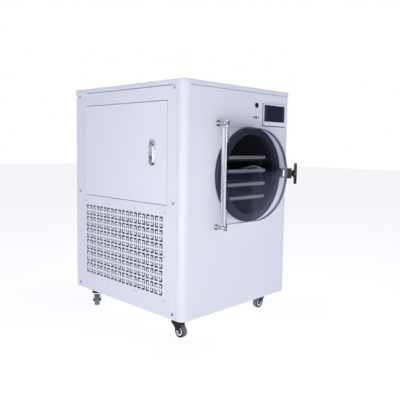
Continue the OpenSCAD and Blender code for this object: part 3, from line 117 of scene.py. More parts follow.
finishLook = {
    # powder-coated sheet steel: satin white with a fine orange peel of about 1 mm
    "powderWhite": {"colour": "#E8EAEB", "rough": 0.42, "grain": 40, "speckle": 0.012, "roughSpread": 0.03,
                    "bump": 0.06, "bumpGrain": 1.11},
    "powderHatch": {"colour": "#ECEEEF", "rough": 0.40, "grain": 40, "speckle": 0.012, "roughSpread": 0.03,
                    "bump": 0.06, "bumpGrain": 1.11},
    "powderCover": {"colour": "#E4E6EA", "rough": 0.38, "grain": 40, "speckle": 0.012, "roughSpread": 0.03,
                    "bump": 0.06, "bumpGrain": 1.11},
    # one thin coat sprayed inside the cabinet: greyer and coarser
    "innerPaint": {"colour": "#C9CBD3", "rough": 0.5, "grain": 55.6, "speckle": 0.03, "bump": 0.05,
                   "bumpGrain": 2},
    # polished stainless steel: a near mirror, a little dulled by handling
    "polished": {"colour": "#D3D5DB", "rough": 0.14, "metal": 1.0, "grain": 25, "speckle": 0.03,
                 "roughSpread": 0.04},
    # bright zinc plating on screws and bolts, uneven over a few millimetres
    "zincScrew": {"colour": "#B9BBC2", "rough": 0.28, "metal": 1.0, "grain": 3.33, "speckle": 0.08},
    "capZinc": {"colour": "#DADCE2", "rough": 0.35, "metal": 0.6, "grain": 5, "speckle": 0.05},
    # screw heads painted over with the panel
    "screwPale": {"colour": "#C4C6D2", "rough": 0.45, "metal": 0.1, "grain": 3.33, "speckle": 0.05},
    # brushed stainless pipe: its lines are about 0.1 mm apart and are drawn 1.1 mm apart so that they show
    "brushedAlongY": {"colour": "#C4C5C9", "rough": 0.32, "metal": 1.0, "grain": (1.11, 167, 1.11),
                      "speckle": 0.10, "roughSpread": 0.10, "bump": 0.01, "bumpGrain": (1.11, 167, 1.11)},
    # tray lips: brushed along their length, with the lines drawn as coarse as on the pipes
    "trayMetal": {"colour": "#BDBBBD", "rough": 0.38, "metal": 0.7, "grain": (167, 1.11, 1.11),
                  "speckle": 0.10, "roughSpread": 0.10, "bump": 0.01, "bumpGrain": (167, 1.11, 1.11)},
    # rolled stainless steel of the chamber, with long marks front to rear; its colour is painted shade, dark as
    # little light gets in
    "chamberPaintedShade": {"colour": "#1E2032", "rough": 0.42, "metal": 0.4, "grain": (2, 200, 2), "speckle": 0.15,
                    "roughSpread": 0.10, "bump": 0.01, "bumpGrain": (1.11, 167, 1.11)},
    # anodised aluminium shelves: a dull dark grey, drawn out across the chamber
    "shelfMetal": {"colour": "#55565F", "rough": 0.45, "metal": 0.9, "grain": (200, 2, 2), "speckle": 0.08},
    # moulded silicone of the door's seal: dark, with a skin like fine leather
    "sealRubber": {"colour": "#2A2B40", "rough": 0.40, "grain": 22.2, "speckle": 0.15, "roughSpread": 0.07,
                   "bump": 0.03, "bumpGrain": 1.43},
    # drawn copper tube, stained in patches
    "copper": {"colour": "#B87650", "rough": 0.30, "metal": 1.0, "grain": 33.3, "speckle": 0.18,
               "roughSpread": 0.12},
    # closed-cell foam: matt, with cells of a few millimetres
    "foamBlack": {"colour": "#26262A", "rough": 0.9, "grain": 28.6, "speckle": 0.2, "bump": 0.6,
                  "bumpGrain": 4.55},
    # thin aluminium fins, with fine streaks
    "finMetal": {"colour": "#B9BBC0", "rough": 0.35, "metal": 1.0, "grain": (33.3, 2, 33.3), "speckle": 0.10},
    # stove enamel on castings: glossy over a rough skin
    "blackEnamel": {"colour": "#141416", "rough": 0.30, "grain": 50, "speckle": 0.2, "bump": 0.08,
                    "bumpGrain": 8.33, "coat": 0.4},
    # moulded ABS: a matt black with spark-eroded grain
    "matteBlack": {"colour": "#17171B", "rough": 0.5, "grain": 8.33, "speckle": 0.15, "bump": 0.04,
                   "bumpGrain": 1.11},
    # moulded phenolic of the hand knob: smoother, with a soft highlight
    "knobBlack": {"colour": "#1C1C22", "rough": 0.33, "grain": 12.5, "speckle": 0.12, "roughSpread": 0.06,
                  "bump": 0.04, "bumpGrain": 2},
    # moulded frame of the display: smooth white; darker copies of it paint the shade on its sides and top, and the
    # shadow under it
    "frameWhite": {"colour": "#F4F5F8", "rough": 0.35, "grain": 16.7, "speckle": 0.012, "roughSpread": 0.03,
                   "bump": 0.02, "bumpGrain": 0.833},
    "frameSidePaintedShade": {"colour": "#B9BBD0", "rough": 0.45, "grain": 16.7, "speckle": 0.03},
    "frameUnderPaintedShadow": {"colour": "#6E708C", "rough": 0.6, "grain": 16.7, "speckle": 0.03},
    # chromed die casting of the lock: a warm mirror
    "lockMetal": {"colour": "#CFCDD6", "rough": 0.20, "metal": 1.0, "grain": 16.7, "speckle": 0.06,
                  "roughSpread": 0.05},
    # moulded button: blue with a thin gloss
    "lockBlue": {"colour": "#1E6286", "rough": 0.34, "grain": 5, "speckle": 0.06, "coat": 0.2},
    # rubber tread: grey and matt, with a moulded skin
    "treadGrey": {"colour": "#6E6F77", "rough": 0.62, "grain": 5, "speckle": 0.10, "bump": 0.12,
                  "bumpGrain": 1.67},
    # moulded nylon of forks and wheel cores
    "wheelDark": {"colour": "#2B2B30", "rough": 0.5, "grain": 6.67, "speckle": 0.12, "bump": 0.05,
                  "bumpGrain": 1.43},
    # blackened steel plates above the casters
    "plateDark": {"colour": "#26262B", "rough": 0.42, "metal": 0.3, "grain": 12.5, "speckle": 0.15},
    # bright moulded ring in each wheel
    "wheelRing": {"colour": "#FAFAFD", "rough": 0.38, "grain": 6.67, "speckle": 0.05},
    # dull zinc on the key barrel
    "zincPlate": {"colour": "#9EA0A6", "rough": 0.36, "metal": 1.0, "grain": 12.5, "speckle": 0.16,
                  "roughSpread": 0.12},
    # braided sheath of the probe: pale, with threads drawn 3 mm long
    "sheath": {"colour": "#E3E3E6", "rough": 0.3, "metal": 0.6, "grain": 3.33, "speckle": 0.06},
    # filter mat behind the vent: almost black
    "slotDark": {"colour": "#101014", "rough": 0.7, "grain": 5, "speckle": 0.2},
}
finish = {name: makeFinish(name, **look) for name, look in finishLook.items()}
print("finishes made:", len(finish))

# the clear door: cast acrylic, polished, whose shadow lets lamp light through
acrylicLook = {"tint": "#F7F9FD", "shade": "#E4E6EE", "ior": 1.49, "smudge": 14.0, "rough": (0.0, 0.004),
               "specular": 0.35}


def makeAcrylic(opts):
    mat = bpy.data.materials.new("clearAcrylic")
    mat.use_nodes = True
    tree = mat.node_tree
    coords = addNode(tree, "TexCoord").outputs["Object"]
    smudges = addNode(tree, "TexNoise", inputs={"Vector": coords, "Scale": opts["smudge"]})
    spread = addNode(tree, "MapRange", inputs={
        "Value": smudges.outputs["Fac"], "To Min": opts["rough"][0], "To Max": opts["rough"][1]})
    shader = tree.nodes["Principled BSDF"]
    feed(tree, shader, {"Base Color": tone(opts["tint"]), "Transmission Weight": 1.0, "IOR": opts["ior"],
                        "Specular IOR Level": opts["specular"], "Roughness": spread.outputs["Result"]})
    clear = addNode(tree, "BsdfTransparent", inputs={"Color": tone(opts["shade"])})
    inShadow = addNode(tree, "LightPath").outputs["Is Shadow Ray"]
    either = addNode(tree, "MixShader", inputs={
        0: inShadow, 1: shader.outputs["BSDF"], 2: clear.outputs["BSDF"]})
    feed(tree, tree.nodes["Material Output"], {"Surface": either.outputs["Shader"]})
    return mat


finish["acrylic"] = makeAcrylic(acrylicLook)

# the door's machined edges: part frosted, so that they take the light of the room;
# saw marks run up the flat edge and turning marks round the rim, 0.3 mm apart, drawn 3.3 mm apart to show
sawnLook = {"grain": (3.33, 3.33, 333), "low": "#9A9CBA", "high": white, "share": 0.85}
turnedLook = {"grain": (250, 3.33, 250), "low": "#8C8EAA", "high": "#C4C6DC", "share": 0.45}
frostLimits = (0.36, 0.60)   # noise below is all low, above is all high


def makeFrosted(name, opts):
    mat = finish["acrylic"].copy()
    mat.name = name
    tree = mat.node_tree
    place = addNode(tree, "Mapping", inputs={
        "Vector": addNode(tree, "TexCoord").outputs["Object"], "Scale": repeats(opts["grain"])})
    lines = addNode(tree, "TexNoise", inputs={"Vector": place.outputs["Vector"], "Scale": 1.0})
    spread = addNode(tree, "MapRange", inputs={
        "Value": lines.outputs["Fac"], "From Min": frostLimits[0], "From Max": frostLimits[1]})
    frost = addNode(tree, "Mix", {"data_type": "RGBA"}, {
        "Factor": spread.outputs["Result"], "A": tone(opts["low"]), "B": tone(opts["high"])})
    pale = addNode(tree, "BsdfDiffuse", inputs={"Color": frost.outputs["Result"]})
    target = tree.nodes["Material Output"]
    clear = target.inputs["Surface"].links[0].from_socket
    mixed = addNode(tree, "MixShader", inputs={0: opts["share"], 1: clear, 2: pale.outputs["BSDF"]})
    feed(tree, target, {"Surface": mixed.outputs["Shader"]})
    return mat


finish["sawnEdge"] = makeFrosted("sawnEdge", sawnLook)
finish["turnedEdge"] = makeFrosted("turnedEdge", turnedLook)

# the dark display under glass: navy margins left and right of a darker active area;
# edgeAt is where the margin starts, as a share of half the width, and blend is how soft that is
displayLook = {"active": "#262C40", "margin": "#3A3A62", "edgeAt": 0.74, "blend": 0.05, "rough": 0.12,
               "coat": 0.3, "coatRough": 0.05}


def makeDisplay(opts):
    low, high = (np.array(c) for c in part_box("hmi_glass"))
    mid, half = (low + high) / 2, (high - low) / 2
    mat = bpy.data.materials.new("displayGlass")
    mat.use_nodes = True
    tree = mat.node_tree
    place = addNode(tree, "Mapping", {"vector_type": "TEXTURE"}, {
        "Vector": addNode(tree, "TexCoord").outputs["Object"], "Location": tuple(mid),
        "Scale": (half[0], 1.0, half[2])})
    split = addNode(tree, "SeparateXYZ", inputs={"Vector": place.outputs["Vector"]})
    away = addNode(tree, "Math", {"operation": "ABSOLUTE"}, {0: split.outputs["X"]})
    step = addNode(tree, "MapRange", inputs={
        "Value": away.outputs["Value"], "From Min": opts["edgeAt"] - opts["blend"],
        "From Max": opts["edgeAt"] + opts["blend"]})
    shown = addNode(tree, "Mix", {"data_type": "RGBA"}, {
        "Factor": step.outputs["Result"], "A": tone(opts["active"]), "B": tone(opts["margin"])})
    feed(tree, tree.nodes["Principled BSDF"], {
        "Base Color": shown.outputs["Result"], "Roughness": opts["rough"], "Coat Weight": opts["coat"],
        "Coat Roughness": opts["coatRough"]})
    return mat


finish["display"] = makeDisplay(displayLook)
print("door and display finishes made")

# which solids take which finish
solidsIn = {
    "innerPaint": ("base_frame", "base_pan", "upright_frame", "drum_cradle", "control_box", "hatch_mounts"),
    "powderWhite": ("front_panel", "left_panel", "right_panel", "rear_panel"),
    "powderCover": ("top_cover",),
    "powderHatch": ("side_hatch",),
    "zincScrew": ("cabinet_screws",),
    "slotDark": ("vent_filter",),
    # the chamber drum takes the painted-shade finish
    "chamberPaintedShade": ("chamber_drum",),
    "sealRubber": ("door_gasket",),
    "copper": ("cold_coil", "refrigerant_lines"),
    "foamBlack": ("insulation_jacket",),
    "shelfMetal": ("shelf_rack", "heated_shelves"),
    "trayMetal": ("tray_1", "tray_2", "tray_3", "tray_4"),
    "sheath": ("temp_probe",),
    "blackEnamel": ("compressor", "fan_shroud", "fan_motor"),
    "finMetal": ("condenser",),
    "matteBlack": ("fan_blade", "power_inlet", "switch_bezel", "usb_socket", "thrust_collar", "clamp_jaw"),
    "brushedAlongY": ("vacuum_pipe", "drain_pipe"),
    "frameWhite": ("hmi_frame",),
    "display": ("hmi_glass",),
    "knobBlack": ("rocker_switch", "hand_knob"),
    "polished": ("hinge_posts", "hinge_pins", "clamp_bracket", "swing_bolt"),
    "acrylic": ("door_pane",),
    "lockMetal": ("lock_base", "lock_lever"),
    "lockBlue": ("lock_button",),
    "zincPlate": ("lock_barrel",),
    "plateDark": ("caster_plates",),
    "wheelDark": tuple("caster_fork_" + corner for corner in corners),
    "treadGrey": tuple("caster_wheel_" + corner for corner in corners),
}
for kind, nodes in solidsIn.items():
    for node in nodes:
        cadNode[node].data.materials.clear()
        cadNode[node].data.materials.append(finish[kind])
print("solids painted:", sum(len(nodes) for nodes in solidsIn.values()), "of", len(cadNode))


# shades a mesh smooth, apart from edges sharper than an angle, and links it as an object
def showMesh(name, mesh, sharpAngle):
    mesh.polygons.foreach_set("use_smooth", np.ones(len(mesh.polygons), dtype=bool))
    mesh.set_sharp_from_angle(angle=math.radians(sharpAngle))
    obj = bpy.data.objects.new(name, mesh)
    bpy.context.scene.collection.objects.link(obj)
    return obj


# a mesh object from arrays of points and faces, its place in its mesh
def meshFrom(name, points, faces, mats, slots=None, sharpAngle=35.0):
    mesh = bpy.data.meshes.new(name)
    mesh.from_pydata([tuple(p) for p in points], [], [tuple(f) for f in faces])
    for mat in mats:
        mesh.materials.append(mat)
    if slots is not None:
        mesh.polygons.foreach_set("material_index", np.asarray(slots, dtype=np.int32))
    mesh.update()
    return showMesh(name, mesh, sharpAngle)


# turns a closed mesh's faces to point outwards
def outward(obj):
    work = bmesh.new()
    work.from_mesh(obj.data)
    bmesh.ops.recalc_face_normals(work, faces=work.faces)
    work.to_mesh(obj.data)
    work.free()


# small metal and moulded pieces get rounded edges: millimetres of rounding for each
roundedEdges = {
    "door_pane": 1.0, "hmi_frame": 1.2, "lock_base": 0.8, "lock_lever": 1.2, "lock_button": 0.6,
    "clamp_bracket": 0.6, "swing_bolt": 0.5, "clamp_jaw": 1.2, "thrust_collar": 1.0, "hinge_pins": 0.5,
    "side_hatch": 0.6, "caster_plates": 0.5, "switch_bezel": 0.4, "cabinet_screws": 0.3,
    **{"caster_fork_" + corner: 0.6 for corner in corners},
}
# points closer than join millimetres become one, faces within flat degrees become one, and edges
# sharper than sharp degrees are rounded
roundingLook = {"join": 0.002, "flat": 0.4, "sharp": 38.0, "segments": 2}


# a bevelled copy of a solid: its triangles are merged, flat faces joined, and sharp edges rounded
def softened(node, width, opts):
    source = cadNode[node]
    work = bmesh.new()
    work.from_mesh(source.data)
    bmesh.ops.remove_doubles(work, verts=work.verts, dist=opts["join"] * mm)
    bmesh.ops.dissolve_limit(work, angle_limit=math.radians(opts["flat"]), verts=work.verts, edges=work.edges,
                             delimit={"NORMAL"})
    mesh = bpy.data.meshes.new(node + "Soft")
    work.to_mesh(mesh)
    work.free()
    for mat in source.data.materials:
        mesh.materials.append(mat)
    obj = showMesh(node + "Soft", mesh, opts["sharp"])
    edge = obj.modifiers.new("edge", "BEVEL")
    edge.width = width * mm
    edge.segments = opts["segments"]
    edge.limit_method = "ANGLE"
    edge.angle_limit = math.radians(opts["sharp"])
    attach(obj, bodyOf[node])
    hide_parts(node)
    return obj


softPiece = {node: softened(node, width, roundingLook) for node, width in roundedEdges.items()}
print("edges rounded:", len(softPiece))


# gives the faces that pass a test another finish; the test reads every face's normal or middle
def repaint(obj, mat, measure, test):
    count = len(obj.data.polygons)
    values, slots = np.empty(count * 3, dtype=np.float32), np.empty(count, dtype=np.int32)
    obj.data.polygons.foreach_get(measure, values)
    obj.data.polygons.foreach_get("material_index", slots)
    slots[test(values.reshape(-1, 3))] = len(obj.data.materials)
    obj.data.materials.append(mat)
    obj.data.polygons.foreach_set("material_index", slots)


# faces by how far their normals lean one way: 1 is along it, 0 is square to it
def faceTowards(node, way, mat, least=0.97, most=1.1):
    way = np.array(way, dtype=np.float32)
    repaint(softPiece[node], finish[mat], "normal",
            lambda normal: (normal @ way > least) & (normal @ way < most))


# faces whose middles lie in the box of another node, widened by a margin in millimetres
def facesBeside(node, other, margin, mat):
    low, high = (np.array(c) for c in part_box(other))
    low, high = low - np.array(margin) * mm, high + np.array(margin) * mm
    repaint(softPiece[node], finish[mat], "center", lambda mid: np.all((mid > low) & (mid < high), axis=1))


ajar = math.radians(-jointByName["door_hinge"]["range_deg"][0])   # the door rests a little open
faceTowards("door_pane", (math.sin(ajar), math.cos(ajar), 0), "turnedEdge", -0.3, 0.3)   # all round the rim
faceTowards("door_pane", (-math.cos(ajar), math.sin(ajar), 0), "sawnEdge")   # the flat edge at the posts
# painted shade on the frame's left side and top, and a darker painted shadow on its underside
faceTowards("hmi_frame", (-1, 0, 0), "frameSidePaintedShade")
faceTowards("hmi_frame", (0, 0, 1), "frameSidePaintedShade")
faceTowards("hmi_frame", (0, 0, -1), "frameUnderPaintedShadow")
facesBeside("cabinet_screws", "vent_filter", (20, 0, 0), "screwPale")   # round the vent, painted over
facesBeside("cabinet_screws", "usb_socket", (6, 20, 10), "matteBlack")
print("faces repainted")

# thin dark box between the display's frame and the panel, a painted shadow seen as a dark outline: how far it
# comes out past the frame on each side, how proud of the panel it is and how far it sinks in, in millimetres
shadowStripLook = {"left": 1.3, "right": 0.7, "above": 0.8, "below": 4.2, "proud": 0.9, "sink": 0.2}


# the box takes the painted shadow colour of the frame's underside
def displayPaintedShadowStrip(opts):
    low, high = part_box("hmi_frame")
    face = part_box("front_panel")[0][1]
    x0, x1 = low[0] - opts["left"] * mm, high[0] + opts["right"] * mm
    z0, z1 = low[2] - opts["below"] * mm, high[2] + opts["above"] * mm
    y0, y1 = face - opts["proud"] * mm, face + opts["sink"] * mm
    points = [(x, y, z) for z in (z0, z1) for y in (y0, y1) for x in (x0, x1)]
    faces = [(0, 1, 5, 4), (1, 3, 7, 5), (3, 2, 6, 7), (2, 0, 4, 6), (4, 5, 7, 6), (0, 2, 3, 1)]
    obj = meshFrom("displayPaintedShadowStrip", points, faces, [finish["frameUnderPaintedShadow"]])
    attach(obj, "cabinet")


displayPaintedShadowStrip(shadowStripLook)
print("display painted shadow strip placed")


# an axle's middle and direction, with unit vectors out from it all the way round
def spokes(corner, segments):
    spin = jointByName["roll_" + corner]
    centre, axis = np.array(spin["pos_m"]), np.array(spin["axis"], dtype=float)
    up = np.array([0.0, 0.0, 1.0])
    turn = np.linspace(0, 2 * math.pi, segments, endpoint=False)[:, None]
    return centre, axis, np.cos(turn) * up + np.sin(turn) * np.cross(axis, up)


# quads between each of n rings of m points and the next one, and from the last to the first if closed
def ringQuads(n, m, closed):
    i, j = np.meshgrid(np.arange(n if closed else n - 1), np.arange(m), indexing="ij")
    i2, j2 = (i + 1) % n, (j + 1) % m
    return np.stack([i * m + j, i * m + j2, i2 * m + j2, i2 * m + j], axis=-1).reshape(-1, 4)


# wheels, in millimetres: bore, hub, tread and ring are radii, and hubHalf, web and half are half widths of
# hub, web and rim; edge is the hub's chamfer, slope and webRise the web's roundings, step the ring's depth
# behind the rim at its foot and sink at its face, and the lips are the ring's and the rim's small roundings
wheelLook = {"segments": 96, "bore": 4.15, "hub": 8.0, "ring": (10.6, 17.2), "tread": 25.0, "hubHalf": 12.0,
             "web": 5.4, "half": 11.0, "edge": 0.8, "slope": 1.2, "webRise": 0.4, "step": 1.4, "sink": 1.0,
             "footLip": 0.3, "faceLip": 0.9, "ringLip": 0.4, "rimDrop": 0.6, "rimLip": 0.5, "rimRise": 0.1,
             "round": 3.4, "bends": 6, "coreUpTo": 0.9}


# the section is a closed loop of radius and offset along the axle, turned round it: each point is
# centre + offset times axis + radius times spoke; its third number is the finish that starts there
def turnedWheel(corner, opts):
    rubber, core, bright = 0, 1, 2
    centre, axis, around = spokes(corner, opts["segments"])
    (inner, outer), hub, web, half, step = opts["ring"], opts["hub"], opts["web"], opts["half"], opts["step"]
    face = half - opts["sink"]
    side = [(opts["bore"], opts["hubHalf"], core), (hub - opts["edge"], opts["hubHalf"], rubber),
            (hub, opts["hubHalf"] - opts["edge"], rubber),
            (hub + opts["slope"] / 2, web + opts["webRise"], core), (hub + opts["slope"], web, core),
            (inner - opts["slope"], web, core), (inner, web + step, core),
            (inner + opts["footLip"], half - step, bright), (inner + opts["faceLip"], face, bright),
            (outer - opts["ringLip"], face, bright), (outer, half - opts["rimDrop"], core),
            (outer + opts["rimLip"], half - opts["rimRise"], core)]
    # the tread's shoulder is a quarter circle, with the core's finish on its first part
    side += [(opts["tread"] + opts["round"] * (math.sin(t) - 1), half + opts["round"] * (math.cos(t) - 1),
              core if t < opts["coreUpTo"] else rubber) for t in np.linspace(0, math.pi / 2, opts["bends"])]
    section = np.array(side + [(r, -w, kind) for r, w, kind in side[::-1]])
    radius, offset = section[:, 0] * mm, section[:, 1] * mm
    kinds = section[:, 2].astype(int)
    grid = centre + offset[:, None, None] * axis + radius[:, None, None] * around
    slots = np.repeat(np.maximum(kinds, np.roll(kinds, -1)), opts["segments"])
    obj = meshFrom("wheel_" + corner, grid.reshape(-1, 3), ringQuads(len(section), opts["segments"], True),
                   [finish["treadGrey"], finish["wheelDark"], finish["wheelRing"]], slots, 40)
    outward(obj)
    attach(obj, "wheel_" + corner)
    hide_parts("caster_wheel_" + corner)


# bright domed caps over both ends of the axle bolt, in millimetres: out is their distance along the axle
capLook = {"radius": 6.2, "rise": 1.6, "foot": 1.2, "out": 17.6, "rings": 7, "segments": 32}


# rings run from the rim at angle 0 to the pole, with radius r cos a and height rise sin a, on a closed foot
def axleCaps(corner, opts):
    n, m = opts["rings"], opts["segments"]
    centre, axis, around = spokes(corner, m)
    lift = np.linspace(0, math.pi / 2, n)[:-1]
    radius = np.concatenate(([1.0], np.cos(lift))) * opts["radius"] * mm
    height = np.concatenate(([-opts["foot"]], np.sin(lift) * opts["rise"])) * mm
    out = opts["out"] * mm
    k = np.arange(m)
    pole = np.stack([(n - 1) * m + k, (n - 1) * m + (k + 1) % m, np.full(m, n * m)], axis=-1)
    under = np.stack([(k + 1) % m, k, np.full(m, n * m + 1)], axis=-1)
    points, faces = [], []
    for way in (1, -1):
        base = len(points) * (n * m + 2)
        grid = centre + way * axis * (out + height)[:, None, None] + radius[:, None, None] * around
        ends = centre + way * axis * (out + np.array([opts["rise"], -opts["foot"]]) * mm)[:, None]
        points.append(np.concatenate((grid.reshape(-1, 3), ends)))
        for group in (ringQuads(n, m, False), pole, under):
            faces += (group + base).tolist()
    obj = meshFrom("axleCaps_" + corner, np.concatenate(points), faces, [finish["capZinc"]])
    outward(obj)
    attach(obj, "fork_" + corner)


for corner in corners:
    turnedWheel(corner, wheelLook)
    axleCaps(corner, capLook)
print("wheels turned:", len(corners))

# camera: its place in metres, its heading, dip and roll in degrees, and its lens in millimetres
cameraLook = {"place": (-1.578175, -1.627313, 0.747), "heading": 45.57, "down": 5.08, "roll": 0.885,
              "lens": 45.198, "sensor": 36.0, "shift": (0.00125, -0.02525), "clip": (0.05, 60.0)}


def addCamera(opts):
    yaw, pitch, roll = (math.radians(opts[k]) for k in ("heading", "down", "roll"))
    ahead = Vector((math.sin(yaw) * math.cos(pitch), math.cos(yaw) * math.cos(pitch), -math.sin(pitch)))
    level = Vector((math.cos(yaw), -math.sin(yaw), 0.0))
    over = level.cross(ahead)
    right = level * math.cos(roll) + over * math.sin(roll)
    up = over * math.cos(roll) - level * math.sin(roll)
    data = bpy.data.cameras.new("camera")
    data.sensor_width = opts["sensor"]
    data.lens = opts["lens"]
    data.shift_x, data.shift_y = opts["shift"]
    data.clip_start, data.clip_end = opts["clip"]
    cam = bpy.data.objects.new("camera", data)
    bpy.context.scene.collection.objects.link(cam)
    turned = Matrix((right, up, -ahead)).transposed()
    cam.matrix_world = Matrix.Translation(opts["place"]) @ turned.to_4x4()
    bpy.context.scene.camera = cam


addCamera(cameraLook)

# pale floor: close to white with a faint shadow where it is seen, matte to other light, and in polished surfaces
# a painted reflection, pale only beyond a line on it that runs out to the front right, fading with distance
floorLook = {"size": 30.0, "colour": "#F1F2F6", "seenShare": 0.26, "glow": 0.89, "gloss": 0.85,
             "bounce": 0.78, "lineFrom": (0.03, -0.38), "lineHeading": 43.4, "blur": 0.03,
             "mirrorShare": 0.02, "fade": (4.5, 15.0), "paintedReflectionTint": "#C4CCFA"}


def addFloor(opts):
    h = opts["size"] / 2
    mat = bpy.data.materials.new("paleFloor")
    mat.use_nodes = True
    tree = mat.node_tree
    tree.nodes.remove(tree.nodes["Principled BSDF"])
    path = addNode(tree, "LightPath").outputs
    # 1 once a ray has been mirrored, inside the clear door too, where its last bounce counts as transmission
    mirrored = addNode(tree, "Math", {"operation": "MINIMUM"}, {0: path["Glossy Depth"], 1: 1.0}).outputs[0]
    direct = addNode(tree, "Math", {"operation": "SUBTRACT"}, {0: 1.0, 1: mirrored}).outputs[0]
    through = addNode(tree, "Math", {"operation": "MULTIPLY"}, {
        0: path["Is Transmission Ray"], 1: direct}).outputs[0]
    seen = addNode(tree, "Math", {"operation": "MAXIMUM"}, {0: path["Is Camera Ray"], 1: through}).outputs[0]
    sharp = addNode(tree, "Math", {"operation": "SUBTRACT"}, {0: 1.0, 1: path["Is Diffuse Ray"]}).outputs[0]
    polished = addNode(tree, "Math", {"operation": "MULTIPLY"}, {0: mirrored, 1: sharp}).outputs[0]
    # the part that is lit by the lamps and takes the shadow
    shade = addNode(tree, "Mix", {"data_type": "RGBA"}, {
        "Factor": seen, "A": tone(opts["colour"]), "B": tone(white, opts["seenShare"])})
    lit = addNode(tree, "Mix", {"data_type": "RGBA"}, {
        "Factor": mirrored, "A": shade.outputs["Result"], "B": tone(white, opts["mirrorShare"])})
    matte = addNode(tree, "BsdfDiffuse", inputs={"Color": lit.outputs["Result"]})
    # signed distance from the line, along its normal
    turn = math.radians(opts["lineHeading"])
    coords = addNode(tree, "TexCoord").outputs["Object"]
    across = addNode(tree, "VectorMath", {"operation": "DOT_PRODUCT"}, {
        0: coords, 1: (math.cos(turn), math.sin(turn), 0)})
    start = opts["lineFrom"][0] * math.cos(turn) + opts["lineFrom"][1] * math.sin(turn)
    beyond = addNode(tree, "MapRange", inputs={
        "Value": across.outputs["Value"], "From Min": start - opts["blur"], "From Max": start + opts["blur"]})
    reach = addNode(tree, "VectorMath", {"operation": "LENGTH"}, {0: coords})
    fade = addNode(tree, "MapRange", inputs={
        "Value": reach.outputs["Value"], "From Min": opts["fade"][0], "From Max": opts["fade"][1],
        "To Min": opts["gloss"], "To Max": 0.0})
    # the part that glows though it is no lamp: seen, mirrored beyond the line as a painted reflection, or lighting
    # the object softly
    far = addNode(tree, "Math", {"operation": "MULTIPLY"}, {
        0: fade.outputs["Result"], 1: beyond.outputs["Result"]}).outputs[0]
    shine = addNode(tree, "Math", {"operation": "MULTIPLY"}, {0: polished, 1: far}).outputs[0]
    soft = addNode(tree, "Math", {"operation": "MULTIPLY_ADD"}, {
        0: path["Is Diffuse Ray"], 1: opts["bounce"], 2: shine}).outputs[0]
    total = addNode(tree, "Math", {"operation": "MULTIPLY_ADD"}, {
        0: seen, 1: opts["glow"], 2: soft}).outputs[0]
    # painted reflection: the bluish tint shows only where the floor is seen in polished surfaces
    tint = addNode(tree, "Mix", {"data_type": "RGBA"}, {
        "Factor": polished, "A": tone(white), "B": tone(opts["paintedReflectionTint"])})
    glow = addNode(tree, "Emission", inputs={"Color": tint.outputs["Result"], "Strength": total})
    both = addNode(tree, "AddShader", inputs={0: matte.outputs["BSDF"], 1: glow.outputs["Emission"]})
    feed(tree, tree.nodes["Material Output"], {"Surface": both.outputs["Shader"]})
    obj = meshFrom("floor", [(-h, -h, 0), (h, -h, 0), (h, h, 0), (-h, h, 0)], [(0, 1, 2, 3)], [mat])


# white surround where it is seen; soft light elsewhere; in polished surfaces dark towards the front right,
# from the cosine darkFrom off that way to the cosine darkFull
worldLook = {"light": 0.20, "tint": "#8494FF", "gloss": 0.85, "darkGloss": 0.04,
             "darkAt": (0.70, -0.714, 0.0), "darkFrom": 0.60, "darkFull": 0.86}


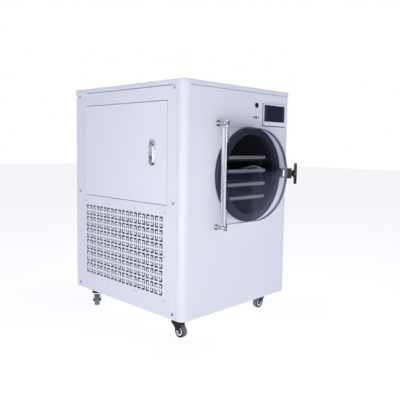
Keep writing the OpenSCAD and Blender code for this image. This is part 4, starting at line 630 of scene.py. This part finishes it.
def addWorld(opts):
    world = bpy.data.worlds.new("studio")
    bpy.context.scene.world = world
    world.use_nodes = True
    tree = world.node_tree
    path = addNode(tree, "LightPath").outputs
    towards = addNode(tree, "VectorMath", {"operation": "DOT_PRODUCT"}, {
        0: addNode(tree, "TexCoord").outputs["Generated"], 1: opts["darkAt"]})
    dim = addNode(tree, "MapRange", inputs={
        "Value": towards.outputs["Value"], "From Min": opts["darkFrom"], "From Max": opts["darkFull"],
        "To Min": opts["gloss"], "To Max": opts["darkGloss"]})
    mirrored = addNode(tree, "Math", {"operation": "MINIMUM"}, {0: path["Glossy Depth"], 1: 1.0})
    level = addNode(tree, "Mix", inputs={
        "Factor": mirrored.outputs["Value"], "A": 1.0, "B": dim.outputs["Result"]})
    shown = addNode(tree, "Background", inputs={"Color": tone(white), "Strength": level.outputs["Result"]})
    soft = tree.nodes["Background"]
    feed(tree, soft, {"Color": tone(opts["tint"]), "Strength": opts["light"]})
    seen = addNode(tree, "Math", {"operation": "MAXIMUM"}, {
        0: path["Is Camera Ray"], 1: path["Is Transmission Ray"]})
    either = addNode(tree, "Math", {"operation": "MAXIMUM"}, {
        0: seen.outputs["Value"], 1: path["Is Glossy Ray"]})
    mixed = addNode(tree, "MixShader", inputs={
        0: either.outputs["Value"], 1: soft.outputs["Background"], 2: shown.outputs["Background"]})
    feed(tree, tree.nodes["World Output"], {"Surface": mixed.outputs["Shader"]})


# square white lamps, in metres and watts; those with unmirrored set don't show in the door and the steel
lampLook = {
    "midFront": {"at": (-0.3, -2.2, 0.7), "aim": (0.0, -0.3, 0.5), "size": 0.8, "power": 2.8},
    "lowSide": {"at": (-3.0, -0.9, 0.4), "aim": (-0.3, -0.1, 0.2), "size": 1.4, "power": 20.0},
    "nearLow": {"at": (-1.75, -1.5, 0.35), "aim": (-0.33, -0.3, 0.3), "size": 0.7, "power": 9.0},
    "overhead": {"at": (0.3, 0.2, 3.4), "aim": (0.0, 0.0, 0.9), "size": 2.6, "power": 17.5},
    "above": {"at": (0.0, 0.0, 2.2), "aim": (0.0, 0.01, 0.9), "size": 0.5, "power": 8.0, "unmirrored": True},
    "rightFront": {"at": (2.6, -3.0, 1.6), "aim": (0.0, -0.3, 0.5), "size": 1.8, "power": 22.5,
                   "unmirrored": True},
}


def addLamps(looks):
    for name, opts in looks.items():
        data = bpy.data.lights.new(name, "AREA")
        data.shape = "SQUARE"
        data.size = opts["size"]
        data.energy = opts["power"]
        lamp = bpy.data.objects.new(name, data)
        bpy.context.scene.collection.objects.link(lamp)
        lamp.visible_glossy = lamp.visible_transmission = not opts.get("unmirrored")
        lamp.location = opts["at"]
        lamp.rotation_euler = (Vector(opts["aim"]) - Vector(opts["at"])).to_track_quat("-Z", "Y").to_euler()


addFloor(floorLook)
addWorld(worldLook)
addLamps(lampLook)
bpy.context.scene.view_settings.view_transform = "Standard"
print("camera, floor and lamps placed")
